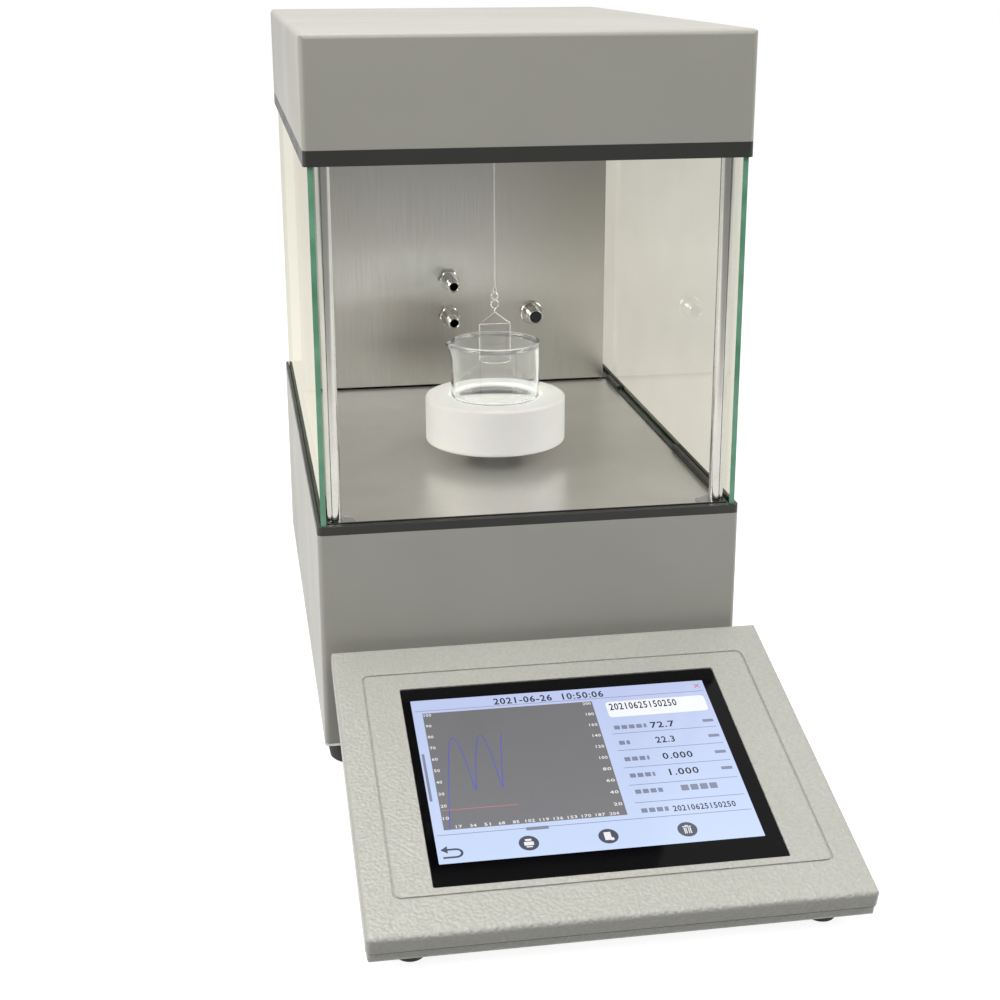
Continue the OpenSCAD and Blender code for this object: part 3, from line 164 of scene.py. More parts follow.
finishes = {
    # powder-coated sheet steel, sprayed and baked: satin, faintly pebbled; 0.5 mm pebble drawn at 0.9 to show
    "powderCoatedSteel": {"colours": ("#A7A6A0", "#A1A09A"), "dark": "#8D8C86", "patch": 90, "grain": 0.9, "bump": 0.12,
                          "depth": 0.03, "rough": (0.36, 0.46), "edge": 0.5, "wear": 0.22, "worn": "#C6C5C0"},
    # moulded ABS with orange-peel texture: matt, dimpled every 1.7 mm; its dark speckle follows the same noise as the
    # dimples, as painted shade of the dimples
    "orangePeelAbs": {"colours": ("#ACACA7", "#A6A6A1"), "dark": "#8B8B87", "patch": 70, "grain": 1.8, "detail": 0.5,
                      "bump": 1.0, "depth": 0.62, "rough": (0.28, 0.38), "edge": 0.6, "wear": 0.2, "worn": "#D3D2CB",
                      # "seam" paints a band of shade along the joint of the two shells
                      "speckle": 0.28, "seam": True},
    # black anodised aluminium, milled: dull, edges rubbed a little grey
    "blackAnodisedAluminium": {"colours": ("#242422", "#1D1D1B"), "dark": "#121211", "patch": 40, "grain": 0.5,
                               "stretch": (0.05, 0.05, 1), "bump": 0.1, "depth": 0.02, "rough": (0.36, 0.5),
                               "edge": 0.35, "wear": 0.5, "worn": "#5A5A56"},
    # cold-rolled stainless sheet, brushed upright: long streaks; 0.1 mm scratches drawn at 0.5 to show
    "uprightBrushedSteel": {"colours": ("#CECCC7", "#C6C4BE"), "dark": "#9B9893", "patch": 110, "grain": 0.5,
                            "stretch": (1, 1, 0.012), "speckle": 0.22, "bump": 0.1, "depth": 0.02,
                            "rough": (0.2, 0.27), "metallic": 1, "edge": 0.3, "anisotropic": 0.75, "blurAcross": "Z"},
    # the same sheet lying flat, brushed from front to back
    "flatBrushedSteel": {"colours": ("#DDDCD8", "#D3D1CD"), "dark": "#B5B3AF", "patch": 60, "grain": 0.5,
                         "stretch": (1, 0.012, 1), "speckle": 0.08, "bump": 0.02, "depth": 0.02,
                         "rough": (0.28, 0.31), "metallic": 0.72, "edge": 0.3, "anisotropic": 0.4, "blurAcross": "Y"},
    # ground and polished steel rod: bright, with faint lathe lines
    "polishedSteelRod": {"colours": ("#C9C7C2", "#BDBBB6"), "dark": "#8F8D88", "patch": 30, "grain": 0.4,
                         "stretch": (0.2, 0.2, 1), "speckle": 0.12, "bump": 0.05, "depth": 0.01,
                         "rough": (0.1, 0.2), "metallic": 1, "edge": 0.2},
    # turned steel with a plain oily finish: screws, nuts, rods and brackets
    "turnedSteel": {"colours": ("#9C9B97", "#8D8C88"), "dark": "#5D5C59", "patch": 12, "grain": 0.35, "speckle": 0.2,
                    "bump": 0.1, "depth": 0.02, "rough": (0.24, 0.4), "metallic": 1, "edge": 0.25},
    # bright zinc plating: slightly bluish, cloudy
    "zincPlatedSteel": {"colours": ("#B9BCBE", "#A6A9AB"), "dark": "#75787A", "patch": 5, "grain": 0.3, "speckle": 0.2,
                        "bump": 0.08, "depth": 0.02, "rough": (0.2, 0.36), "metallic": 1, "edge": 0.2},
    # turned PTFE: pure white, waxy, light goes a little way in
    "turnedPtfe": {"colours": ("#FAF9F9", "#F6F5F5"), "dark": "#E9E8E8", "patch": 25, "grain": 0.6,
                   "stretch": (0.25, 0.25, 1), "bump": 0.06, "depth": 0.02, "rough": (0.3, 0.4), "edge": 0.6,
                   "ior": 1.38, "soft": 0.25},
    # moulded nitrile rubber: near black, dusty
    "mouldedRubber": {"colours": ("#232322", "#1B1B1A"), "dark": "#101010", "patch": 9, "grain": 0.6, "bump": 0.3,
                      "depth": 0.05, "rough": (0.62, 0.8), "edge": 0.5, "wear": 0.3, "worn": "#3D3D3B"},
    # glass-filled nylon, moulded: black with a fine spark texture
    "mouldedNylon": {"colours": ("#1F1F20", "#18181A"), "dark": "#0E0E0F", "patch": 14, "grain": 0.5, "bump": 0.3,
                     "depth": 0.04, "rough": (0.4, 0.56), "edge": 0.35, "wear": 0.3, "worn": "#3A3A3C"},
    # free-turned brass: warm, with fine turning lines
    "turnedBrass": {"colours": ("#C7A052", "#B58F45"), "dark": "#7D6230", "patch": 8, "grain": 0.35,
                    "stretch": (0.3, 0.3, 1), "speckle": 0.2, "bump": 0.1, "depth": 0.02, "rough": (0.22, 0.38),
                    "metallic": 1, "edge": 0.25},
    # milled aluminium: pale grey with cutter marks
    "milledAluminium": {"colours": ("#C3C4C6", "#B5B6B8"), "dark": "#8C8D90", "patch": 20, "grain": 0.5,
                        "stretch": (1, 0.1, 1), "speckle": 0.18, "bump": 0.1, "depth": 0.02, "rough": (0.3, 0.44),
                        "metallic": 1, "edge": 0.3},
    # silicone tube, extruded: milky and soft
    "extrudedSilicone": {"colours": ("#D9DAD6", "#CFD0CC"), "dark": "#BBBCB8", "patch": 12, "grain": 0.8, "bump": 0.1,
                         "depth": 0.03, "rough": (0.34, 0.48), "edge": 0.3, "soft": 0.15},
    # lacquered motor steel: black, slightly glossy
    "lacqueredMotorSteel": {"colours": ("#222224", "#1A1A1C"), "dark": "#0F0F10", "patch": 15, "grain": 0.7,
                            "bump": 0.12, "depth": 0.03, "rough": (0.3, 0.42), "edge": 0.4, "wear": 0.4,
                            "worn": "#55555A"},
    # glass-epoxy board under green solder mask: glossy, weave showing through every 1.2 mm
    "solderMaskBoard": {"colours": ("#1E5B34", "#174A2A"), "dark": "#0F3520", "patch": 6, "grain": 1.2, "detail": 0,
                        "speckle": 0.5, "bump": 0.12, "depth": 0.03, "rough": (0.2, 0.36), "edge": 0.2, "coat": 0.3},
    # enamelled copper wire, wound: orange with thread-like bands
    "enamelledCopper": {"colours": ("#B4633A", "#9C5230"), "dark": "#6B361E", "patch": 6, "grain": 0.5,
                        "stretch": (0.1, 0.1, 1), "speckle": 0.5, "bump": 0.3, "depth": 0.05, "rough": (0.22, 0.36),
                        "metallic": 1, "edge": 0.2},
    # sintered ferrite: dark grey, gritty
    "sinteredFerrite": {"colours": ("#3B3B3E", "#323235"), "dark": "#202022", "patch": 7, "grain": 0.6, "bump": 0.25,
                        "depth": 0.05, "rough": (0.5, 0.66), "edge": 0.3, "wear": 0.3, "worn": "#58585C"},
    # drawn platinum wire: white metal, nearly mirror-like
    "drawnPlatinum": {"colours": ("#DAD8D3", "#CFCDC8"), "dark": "#A5A39F", "patch": 5, "grain": 0.3, "speckle": 0.1,
                      "bump": 0.04, "depth": 0.01, "rough": (0.12, 0.22), "metallic": 1, "edge": 0.1},
    # back-painted touch glass: jet black behind a polished face
    "backPaintedGlass": {"colours": ("#050508", "#040406"), "dark": "#020203", "patch": 40, "grain": 3, "speckle": 0.1,
                         "bump": 0.02, "depth": 0.01, "rough": (0.04, 0.08), "edge": 0.25, "specular": 0.12},
    # blue-black phenolic insert of the probe socket: moulded, slightly glossy
    "phenolicInsert": {"colours": ("#20283C", "#1A2132"), "dark": "#10141F", "patch": 4, "grain": 0.4, "bump": 0.15,
                       "depth": 0.03, "rough": (0.3, 0.42), "edge": 0.2},
}
materials = {name: finishMaterial(name, finish) for name, finish in finishes.items()}


def paneGlassMaterial():
    # soda-lime float glass, cut and ground: clear faces with a faint warm grey, green edges with a faint painted glow
    material, tree = emptyMaterial("floatGlassPane")
    coords = add(tree, "ShaderNodeTexCoord").outputs
    across = calc(tree, "ABSOLUTE", add(tree, "ShaderNodeSeparateXYZ", {0: coords["Normal"]}).outputs["X"])
    isEdge = calc(tree, "LESS_THAN", across, 0.5)
    cloud = noise(tree, coords["Object"], 25)
    slanting = spread(tree, add(tree, "ShaderNodeLayerWeight", {"Blend": 0.5}).outputs["Facing"], 0, 1, 0.25, 0.85)
    deep = blendColours(tree, spread(tree, cloud, 0, 1), hexColour("#E8E6E0"), hexColour("#E5E3DC"))
    tint = blendColours(tree, slanting, hexColour("#FAFBF9"), deep)
    clear = add(tree, "ShaderNodeBsdfTransparent", {"Color": tint})
    shine = add(tree, "ShaderNodeBsdfAnisotropic", {"Color": hexColour("#E6E3D6"), "Roughness": 0.02})
    backside = add(tree, "ShaderNodeNewGeometry").outputs["Backfacing"]
    mirror = add(tree, "ShaderNodeFresnel", {"IOR": 1.8}).outputs[0]  # both surfaces of the sheet together
    mirror = spread(tree, backside, mirror, 0, 0, 1)
    face = add(tree, "ShaderNodeMixShader", {0: mirror, 1: clear.outputs[0], 2: shine.outputs[0]})
    band = spread(tree, noise(tree, coords["Object"], 60, 1), 0, 1)
    green = blendColours(tree, band, hexColour("#4C8B6C"), hexColour("#70A98C"))
    # painted glow: the green edges shine faintly by themselves
    edge = add(tree, "ShaderNodeBsdfPrincipled", {"Base Color": green, "Roughness": 0.18, "Emission Color": green,
                                                  "Emission Strength": 0.05})
    close(tree, add(tree, "ShaderNodeMixShader", {0: isEdge, 1: face.outputs[0], 2: edge.outputs[0]}).outputs[0])
    return material


def labGlassMaterial():
    # blown borosilicate glass, fire-polished: colourless, bright rim, slight waviness in the wall
    material, tree = emptyMaterial("borosilicateGlass")
    wave = noise(tree, objectPlace(tree), 90, 1)
    bump = add(tree, "ShaderNodeBump", {"Height": wave, "Strength": 0.12, "Distance": 0.2 * mm}).outputs["Normal"]
    glass = add(tree, "ShaderNodeBsdfPrincipled", {
        "Base Color": hexColour("#FEFFFF"), "Roughness": 0.01, "IOR": 1.47, "Transmission Weight": 1, "Normal": bump})
    clear = add(tree, "ShaderNodeBsdfTransparent", {"Color": hexColour("#FBFCFB")})
    shadow = add(tree, "ShaderNodeLightPath").outputs["Is Shadow Ray"]
    close(tree, add(tree, "ShaderNodeMixShader", {0: shadow, 1: glass.outputs[0], 2: clear.outputs[0]}).outputs[0])
    return material


def litMaterial(name, top, bottom, strength):
    # liquid-crystal display under clear glass: shines by itself, with a slow change of tint up the panel
    material, tree = emptyMaterial(name)
    shade = add(tree, "ShaderNodeSeparateXYZ", {0: objectPlace(tree)}).outputs["Y"]
    low, high = display["start"].y, display["end"].y
    glow = blendColours(tree, spread(tree, shade, 0, 1, low, high), hexColour(bottom), hexColour(top))
    shader = add(tree, "ShaderNodeBsdfPrincipled", {"Base Color": (0.004, 0.004, 0.006, 1), "Roughness": 0.12,
                                                    "Emission Color": glow, "Emission Strength": strength})
    close(tree, shader.outputs[0])
    return material


def trimMaterial():
    # the black anodised trim again, with its two pressed post bosses left as bright satin metal
    material = materials["blackAnodisedAluminium"].copy()
    material.name = "anodisedTrimWithBosses"
    tree = material.node_tree
    output = next(n for n in tree.nodes if n.type == "OUTPUT_MATERIAL")
    black = output.inputs["Surface"].links[0].from_socket
    spot = vectorCalc(tree, "SUBTRACT", objectPlace(tree), tuple(bodyZero))[0]
    parts = add(tree, "ShaderNodeSeparateXYZ", {0: spot}).outputs
    side = calc(tree, "ABSOLUTE", parts["X"])
    away = add(tree, "ShaderNodeCombineXYZ", {"X": calc(tree, "SUBTRACT", side, boss["x"] * mm),
                                              "Y": calc(tree, "SUBTRACT", parts["Y"], boss["y"] * mm)}).outputs[0]
    near = calc(tree, "LESS_THAN", vectorCalc(tree, "LENGTH", away)["Value"], boss["radius"] * mm)
    level = calc(tree, "COMPARE", parts["Z"], boss["top"] * mm, boss["within"] * mm)
    grain = spread(tree, noise(tree, spot, 2000), 0, 1)
    satin = add(tree, "ShaderNodeBsdfPrincipled", {
        "Base Color": blendColours(tree, grain, hexColour("#B4B4B5"), hexColour("#A6A6A8")), "Roughness": 0.42,
        "Metallic": 0.6})
    mask = calc(tree, "MULTIPLY", near, level)
    mixed = add(tree, "ShaderNodeMixShader", {0: mask, 1: black, 2: satin.outputs[0]})
    tree.links.new(mixed.outputs[0], output.inputs["Surface"])
    return material


boss = {"x": 109.5, "y": 12, "radius": 11.02, "top": 145.5, "within": 0.2}
materials["anodisedTrimWithBosses"] = trimMaterial()
materials["floatGlassPane"] = paneGlassMaterial()
materials["borosilicateGlass"] = labGlassMaterial()
print("materials made:", len(materials))

# CAD nodes that keep their own mesh, by finish
carriedOver = {
    "powderCoatedSteel": ["base_housing", "head_housing", "rear_housing", "rear_panel"],
    "orangePeelAbs": ["console_upper_shell", "console_lower_shell"],
    "blackAnodisedAluminium": ["head_trim"],
    "anodisedTrimWithBosses": ["base_trim"],
    "uprightBrushedSteel": ["back_wall"],
    "flatBrushedSteel": ["floor_plate", "ceiling_plate"],
    "polishedSteelRod": ["front_posts", "rear_posts", "guide_rods"],
    "turnedSteel": ["wall_nuts", "rear_hose_ports", "lead_screw", "hinge_pins", "hinge_brackets", "beam_pivot"],
    "zincPlatedSteel": ["base_plate", "motor_standoffs", "data_port"],
    "turnedPtfe": ["sample_holder"],
    "mouldedRubber": ["rubber_feet", "console_pads"],
    "mouldedNylon": ["power_inlet", "switch_frame", "switch_rocker"],
    "turnedBrass": ["lift_nut", "board_standoffs"],
    "milledAluminium": ["motor_plate", "shaft_coupling", "lift_carriage", "lift_top_plate", "lift_column",
                        "weigh_cell_frame", "weigh_beam", "power_supply", "display_module"],
    "extrudedSilicone": ["inner_hoses"],
    "lacqueredMotorSteel": ["stepper_motor"],
    "solderMaskBoard": ["main_board", "console_board"],
    "enamelledCopper": ["voice_coil"],
    "sinteredFerrite": ["magnet_pot"],
    "drawnPlatinum": ["measuring_ring"],
    "floatGlassPane": ["side_glass_left", "side_glass_right"],
}
for finish, names in carriedOver.items():
    for name in names:
        for spot in nodes[name].material_slots:
            spot.material = materials[finish]
print("frame nodes dressed:", sum(len(names) for names in carriedOver.values()))


# mesh helpers

def addPiece(name, mesh, finish, body, replaced=(), sharp=35):
    piece = bpy.data.objects.new(name, mesh)
    scene.collection.objects.link(piece)
    if finish:
        mesh.materials.clear()
        mesh.materials.append(materials[finish])
    mesh.shade_smooth()
    mesh.set_sharp_from_angle(angle=math.radians(sharp))
    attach(piece, body)
    if replaced:
        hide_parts(*replaced)
    return piece


def finishedMesh(shape, name, place=None):
    bmesh.ops.remove_doubles(shape, verts=shape.verts, dist=1e-7)
    bmesh.ops.recalc_face_normals(shape, faces=shape.faces)
    if place is not None:
        bmesh.ops.transform(shape, matrix=place, verts=shape.verts)
    mesh = bpy.data.meshes.new(name)
    shape.to_mesh(mesh)
    shape.free()
    return mesh


def arc(centreR, centreH, radius, start, end, steps=6):
    angles = [math.radians(start + (end - start) * i / steps) for i in range(steps + 1)]
    return [(centreR + radius * math.cos(a), centreH + radius * math.sin(a)) for a in angles]


def turn(shape, profile, steps=64, loop=False, reshape=None, place=None):
    rings = []
    for radius, height in profile:
        spots = []
        for i in range(1 if radius < 1e-6 else steps):
            angle = 2 * math.pi * i / steps
            spot = Vector((radius * math.cos(angle), radius * math.sin(angle), height))
            if reshape:
                spot = reshape(spot)
            spots.append(shape.verts.new((place @ (spot * mm)) if place else spot * mm))
        rings.append(spots)
    for low, high in zip(rings, rings[1:] + (rings[:1] if loop else [])):
        for i in range(steps):
            j = (i + 1) % steps
            corners = [low[i % len(low)], low[j % len(low)], high[j % len(high)], high[i % len(high)]]
            unique = list(dict.fromkeys(corners))
            if len(unique) > 2:
                shape.faces.new(unique)


def joinRings(shape, rings):
    # faces from each ring to the next, and from the last back to the first
    for ring, following in zip(rings, rings[1:] + rings[:1]):
        for i in range(len(ring)):
            j = (i + 1) % len(ring)
            shape.faces.new([ring[i], ring[j], following[j], following[i]])


def sweep(shape, points, radius, sides=12):
    points = [Vector(p) for p in points]
    rings = []
    side = None
    for i, point in enumerate(points):
        along = (points[min(i + 1, len(points) - 1)] - points[max(i - 1, 0)]).normalized()
        if side is None:
            side = along.orthogonal().normalized()
        side = (side - along * side.dot(along)).normalized()
        up = along.cross(side)
        rings.append([shape.verts.new((point + (side * math.cos(2 * math.pi * k / sides)
                                                + up * math.sin(2 * math.pi * k / sides)) * radius) * mm)
                      for k in range(sides)])
    for low, high in zip(rings, rings[1:]):
        for k in range(sides):
            shape.faces.new([low[k], low[(k + 1) % sides], high[(k + 1) % sides], high[k]])
    shape.faces.new(rings[0])
    shape.faces.new(rings[-1])


def roundedRectangle(left, bottom, right, top, radius, steps=6):
    corners = [(right - radius, top - radius, 0), (left + radius, top - radius, 90),
               (left + radius, bottom + radius, 180), (right - radius, bottom + radius, 270)]
    return [(x, y) for cx, cy, start in corners for x, y in arc(cx, cy, radius, start, start + 90, steps)]


# glass dish

dish = {"radius": 27.5, "height": 36, "wall": 1.5, "floor": 1.6, "bead": 1.0, "foot": 182.5, "corner": 3.0,
        "footRing": 5, "dent": 0.25, "inside": 2.2, "spoutReach": 3.5, "spoutWidth": 0.16, "spoutDepth": 13,
        "spoutZone": 4, "spoutDip": 0.9, "pinchAt": 2.1, "pinchWidth": 0.8, "pinchDepth": 0.45}


def dishSpout(spot):
    radius = math.hypot(spot.x, spot.y)
    rise = (spot.z - dish["height"] + dish["spoutDepth"]) / dish["spoutDepth"]
    if radius < dish["radius"] - dish["spoutZone"] or rise <= 0:
        return spot
    turned = math.atan2(spot.y, -spot.x) / dish["spoutWidth"]
    lip = math.exp(-turned ** 2)
    pinch = math.exp(-((abs(turned) - dish["pinchAt"]) / dish["pinchWidth"]) ** 2)
    scale = (radius + rise ** 2 * (dish["spoutReach"] * lip - dish["pinchDepth"] * pinch)) / radius
    return Vector((spot.x * scale, spot.y * scale, spot.z - dish["spoutDip"] * lip * rise ** 3))


def dishProfile():
    r, h, wall, bead, ring = dish["radius"], dish["height"], dish["wall"], dish["bead"], dish["footRing"]
    corner, inside, dent = dish["corner"], dish["inside"], dish["dent"]
    levels = range(6, 34, 2)
    return ([(0, dent), (r - ring - 1, dent), (r - ring, 0)] + arc(r - corner, corner, corner, -90, 0)
            + [(r, z) for z in levels] + arc(r - wall / 2, h - bead, bead, -48, 228, 16)
            + [(r - wall, z) for z in reversed(levels)]
            + arc(r - wall - inside, dish["floor"] + inside, inside, 0, -90) + [(0, dish["floor"])])


shape = bmesh.new()
turn(shape, dishProfile(), 160, reshape=dishSpout)
addPiece("glassDish", finishedMesh(shape, "glassDish", bodyFrame(0, sampleY, dish["foot"])), "borosilicateGlass",
         "dish", ["glass_dish"], 50)
print("dish made")

# hanger wire

hanger = {"wire": 0.45, "topEye": 387.05, "eyeRadius": 2.0, "topWrap": 4.2, "topWrapLength": 3.4, "topTurns": 3,
          "hookCentre": 241.05, "hookRadius": 2.4, "wrap": 0.86, "turns": 2.5, "upperCentre": 246.0,
          "upperRadius": 1.9, "wrapLow": 248.6, "wrapPitch": 1.0}


def wrapped(bottom, length, start, turns, steps):
    for i in range(steps + 1):
        angle = 2 * math.pi * (start + turns * i / steps)
        yield hanger["wrap"] * math.cos(angle), hanger["wrap"] * math.sin(angle), bottom + length * i / steps


def hangerPath():
    eyeLow, topTurns = hanger["topEye"] - hanger["eyeRadius"], hanger["topTurns"]
    # upper wraps, from their free end up to the eye
    path = list(wrapped(eyeLow - hanger["topWrap"], hanger["topWrapLength"], -topTurns, topTurns, 32))
    path += [(x, 0, z) for x, z in arc(0, hanger["topEye"], hanger["eyeRadius"], -60, 265, 24)]
    path += [(0, 0, eyeLow - 2 - i * 8) for i in range(17)] + [(0, 0, hanger["wrapLow"] - 0.4)]
    # down the upper loop's left side, across, round the lower loop, across again and up the right side
    upper, upperRadius, cross = hanger["upperCentre"], hanger["upperRadius"], hanger["wire"] + 0.05
    path += [(x, cross * (1 - i / 8) / 2, z) for i, (x, z) in enumerate(arc(0, upper, upperRadius, 115, 230, 8))]
    path += [(x, cross * (1 - i / 12), z)
             for i, (x, z) in enumerate(arc(0, hanger["hookCentre"], hanger["hookRadius"], 55, -235, 24))]
    path += [(x, -cross, z) for x, z in arc(0, upper, upperRadius, -50, 60, 8)]
    return path + list(wrapped(hanger["wrapLow"], hanger["turns"] * hanger["wrapPitch"], 0, -hanger["turns"], 40))


shape = bmesh.new()
sweep(shape, hangerPath(), hanger["wire"], 12)
addPiece("hangerWire", finishedMesh(shape, "hangerWire", bodyFrame(0, sampleY, 0)), "drawnPlatinum", "hanger",
         ["hang_wire"], 60)
print("hanger made")

# back wall fittings

fitting = {"wallY": 305, "x": -5, "levels": (198, 224), "tube": 4.2, "bore": 2.7, "reach": 30, "through": 15.5,
           "hexRadius": 7.5, "hexThick": 6, "chamfer": 0.9, "grooves": ((19, 21.6), (25, 27.4)), "grooveDeep": 0.5,
           "grooveSlope": 0.6}
socket = {"x": 55.5, "level": 198, "flange": 8.2, "flangeThick": 2.5, "body": 5.2, "reach": 18, "face": 4.0,
          "deep": 3.5, "stem": 4.2, "stemLength": 11.5, "grips": 5, "gripPitch": 2, "gripDeep": 0.35,
          "insert": 3.95, "insertThick": 2.1, "pins": 5, "pinCircle": 2.2, "pin": 0.42, "pinLength": 1.2}


def lyingAt(x, level):
    # a turned piece's height then points out of the wall, towards the front
    return bodyFrame(x, fitting["wallY"], level) @ Matrix.Rotation(math.radians(90), 4, "X")


def hexNut(shape, radius, thick, chamfer, bore, place, sides=48):
    rings = []
    flat = radius * math.cos(math.radians(30))
    angles = [2 * math.pi * i / sides for i in range(sides)]
    for level, limit in ((0, radius + 1), (thick - chamfer, radius + 1), (thick - chamfer * 0.5, radius - 0.25),
                         (thick, flat - 0.1)):
        reaches = [min(flat / math.cos((a % math.radians(60)) - math.radians(30)), limit) for a in angles]
        rings.append([(reach * math.cos(a), reach * math.sin(a), level) for reach, a in zip(reaches, angles)])
    rings += [[(bore * math.cos(a), bore * math.sin(a), level) for a in angles] for level in (thick, 0)]
    joinRings(shape, [[shape.verts.new(place @ (Vector(spot) * mm)) for spot in ring] for ring in rings])


shape = bmesh.new()
for level in fitting["levels"]:
    place = lyingAt(fitting["x"], level)
    tube, bore, reach, through = (fitting[key] for key in ("tube", "bore", "reach", "through"))
    low, slope = tube - fitting["grooveDeep"], fitting["grooveSlope"]
    nozzle = [(tube, -through), (tube, 3), (tube, 12)]
    for start, end in fitting["grooves"]:
        nozzle += [(tube, start), (low, start + slope), (low, end - slope), (tube, end)]
    nozzle += [(tube, reach - 0.8), (tube - 0.7, reach), (bore + 0.5, reach), (bore, reach - 0.6), (bore, -through)]
    turn(shape, nozzle, 48, loop=True, place=place)
    hexNut(shape, fitting["hexRadius"], fitting["hexThick"], fitting["chamfer"], tube + 0.02, place)
addPiece("hoseNozzles", finishedMesh(shape, "hoseNozzles"), "polishedSteelRod", "stand",
         ["hose_nozzles"], 30)

place = lyingAt(socket["x"], socket["level"])
shape = bmesh.new()
flange, flangeThick, body, reach = (socket[key] for key in ("flange", "flangeThick", "body", "reach"))
shell = [(0, -socket["stemLength"]), (socket["stem"], -socket["stemLength"]), (socket["stem"], 0), (flange, 0),
         (flange, flangeThick - 0.6), (flange - 0.6, flangeThick), (body + 0.1, flangeThick), (body, flangeThick + 0.4)]
for i in range(socket["grips"]):  # grip rings round the body
    step, low = flangeThick + 3 + i * socket["gripPitch"], body - socket["gripDeep"]
    shell += [(body, step), (low, step + 0.4), (low, step + 1.0), (body, step + 1.4)]
shell += [(body, reach - 0.7), (body - 0.6, reach), (socket["face"] + 0.3, reach), (socket["face"], reach - 0.4),
          (socket["face"], reach - socket["deep"]), (0, reach - socket["deep"])]
turn(shape, shell, 48, place=place)
addPiece("probeSocketShell", finishedMesh(shape, "probeSocketShell"), "polishedSteelRod", "stand",
         ["probe_socket"], 30)

shape = bmesh.new()
base, insert, pin = reach - socket["deep"], socket["insert"], socket["pin"]
face = base + socket["insertThick"]
turn(shape, [(0, base), (insert, base), (insert, face - 0.3), (insert - 0.35, face), (0, face)], 32, place=place)
for x, y in arc(0, 0, socket["pinCircle"], 54, 54 + 360, socket["pins"])[:-1]:
    tip = face + socket["pinLength"]
    turn(shape, [(0, face), (pin, face), (pin, tip - 0.3), (pin - 0.17, tip), (0, tip)], 12,
         place=place @ Matrix.Translation(Vector((x, y, 0)) * mm))
addPiece("probeSocketInsert", finishedMesh(shape, "probeSocketInsert"), "phenolicInsert", "stand")
print("wall fittings made")

# screws

screwSizes = {
    # CAD node: direction its heads face, head radius, head height, shank radius, shank length, body
    "panel_screws": ((0, 1, 0), 2.8, 1.8, 1.5, 6.0, "stand"),
    "base_screws": ((0, 0, -1), 2.8, 1.8, 1.5, 6.0, "stand"),
    "bracket_screws": ((0, -1, 0), 2.6, 1.4, 1.5, 6.0, "stand"),
    "console_screws": (tuple(consoleFrame.to_3x3() @ Vector((0, 0, -1))), 2.6, 1.2, 1.5, 11.5, "console"),
}
# shares of the head's radius (round) and height (along), and of the shank's length
screwShape = {"headSides": 32, "coneTop": 0.74, "coneFoot": 1.5, "coneLength": 2.0, "coneLift": 0.2, "shankSides": 24,
              "shankLift": -0.47, "keyRadius": 0.45, "keyLength": 1.2}


def screwTree():
    tree = bpy.data.node_groups.new("capScrews", "GeometryNodeTree")
    face = tree.interface
    face.new_socket("Geometry", in_out="INPUT", socket_type="NodeSocketGeometry")
    sizes = {label: face.new_socket(label, in_out="INPUT", socket_type="NodeSocketFloat").identifier
             for label in ("Head radius", "Head height", "Shank radius", "Shank length")}
    sizes["Facing"] = face.new_socket("Facing", in_out="INPUT", socket_type="NodeSocketVector").identifier
    sizes["Finish"] = face.new_socket("Finish", in_out="INPUT", socket_type="NodeSocketMaterial").identifier
    face.new_socket("Geometry", in_out="OUTPUT", socket_type="NodeSocketGeometry")
    given = add(tree, "NodeGroupInput").outputs

    def drum(sides, radius, depth):
        return add(tree, "GeometryNodeMeshCylinder", {"Vertices": sides, "Radius": radius,
                                                      "Depth": depth}).outputs["Mesh"]

    def share(value, key):
        return calc(tree, "MULTIPLY", value, screwShape[key])

    def lifted(mesh, height):
        shift = add(tree, "ShaderNodeCombineXYZ", {"Z": height}).outputs[0]
        return add(tree, "GeometryNodeTransform", {"Geometry": mesh, "Translation": shift}).outputs[0]

    def boolean(operation, first, second):
        made = add(tree, "GeometryNodeMeshBoolean", {"Mesh 2": first}, operation=operation)
        tree.links.new(second, made.inputs["Mesh 2"])
        return made.outputs[0]

    headR, headH, shankL = given["Head radius"], given["Head height"], given["Shank length"]
    cap = lifted(drum(screwShape["headSides"], headR, headH), calc(tree, "MULTIPLY", headH, 0.5))
    cone = add(tree, "GeometryNodeMeshCone", {
        "Vertices": screwShape["headSides"], "Radius Top": share(headR, "coneTop"),
        "Radius Bottom": share(headR, "coneFoot"), "Depth": share(headH, "coneLength")}).outputs["Mesh"]
    head = boolean("INTERSECT", cap, lifted(cone, share(headH, "coneLift")))
    shank = lifted(drum(screwShape["shankSides"], given["Shank radius"], shankL), share(shankL, "shankLift"))
    key = drum(6, share(headR, "keyRadius"), share(headH, "keyLength"))
    cut = add(tree, "GeometryNodeMeshBoolean", {"Mesh 1": boolean("UNION", head, shank), "Mesh 2": lifted(key, headH)},
              operation="DIFFERENCE")
    facing = add(tree, "FunctionNodeAlignRotationToVector", {"Vector": given["Facing"]}, axis="Z").outputs[0]
    many = add(tree, "GeometryNodeInstanceOnPoints", {"Points": given["Geometry"], "Instance": cut.outputs[0],
                                                      "Rotation": facing}).outputs[0]
    real = add(tree, "GeometryNodeRealizeInstances", {0: many}).outputs[0]
    dressed = add(tree, "GeometryNodeSetMaterial", {"Geometry": real, "Material": given["Finish"]}).outputs[0]
    add(tree, "NodeGroupOutput", {0: dressed})
    return tree, sizes


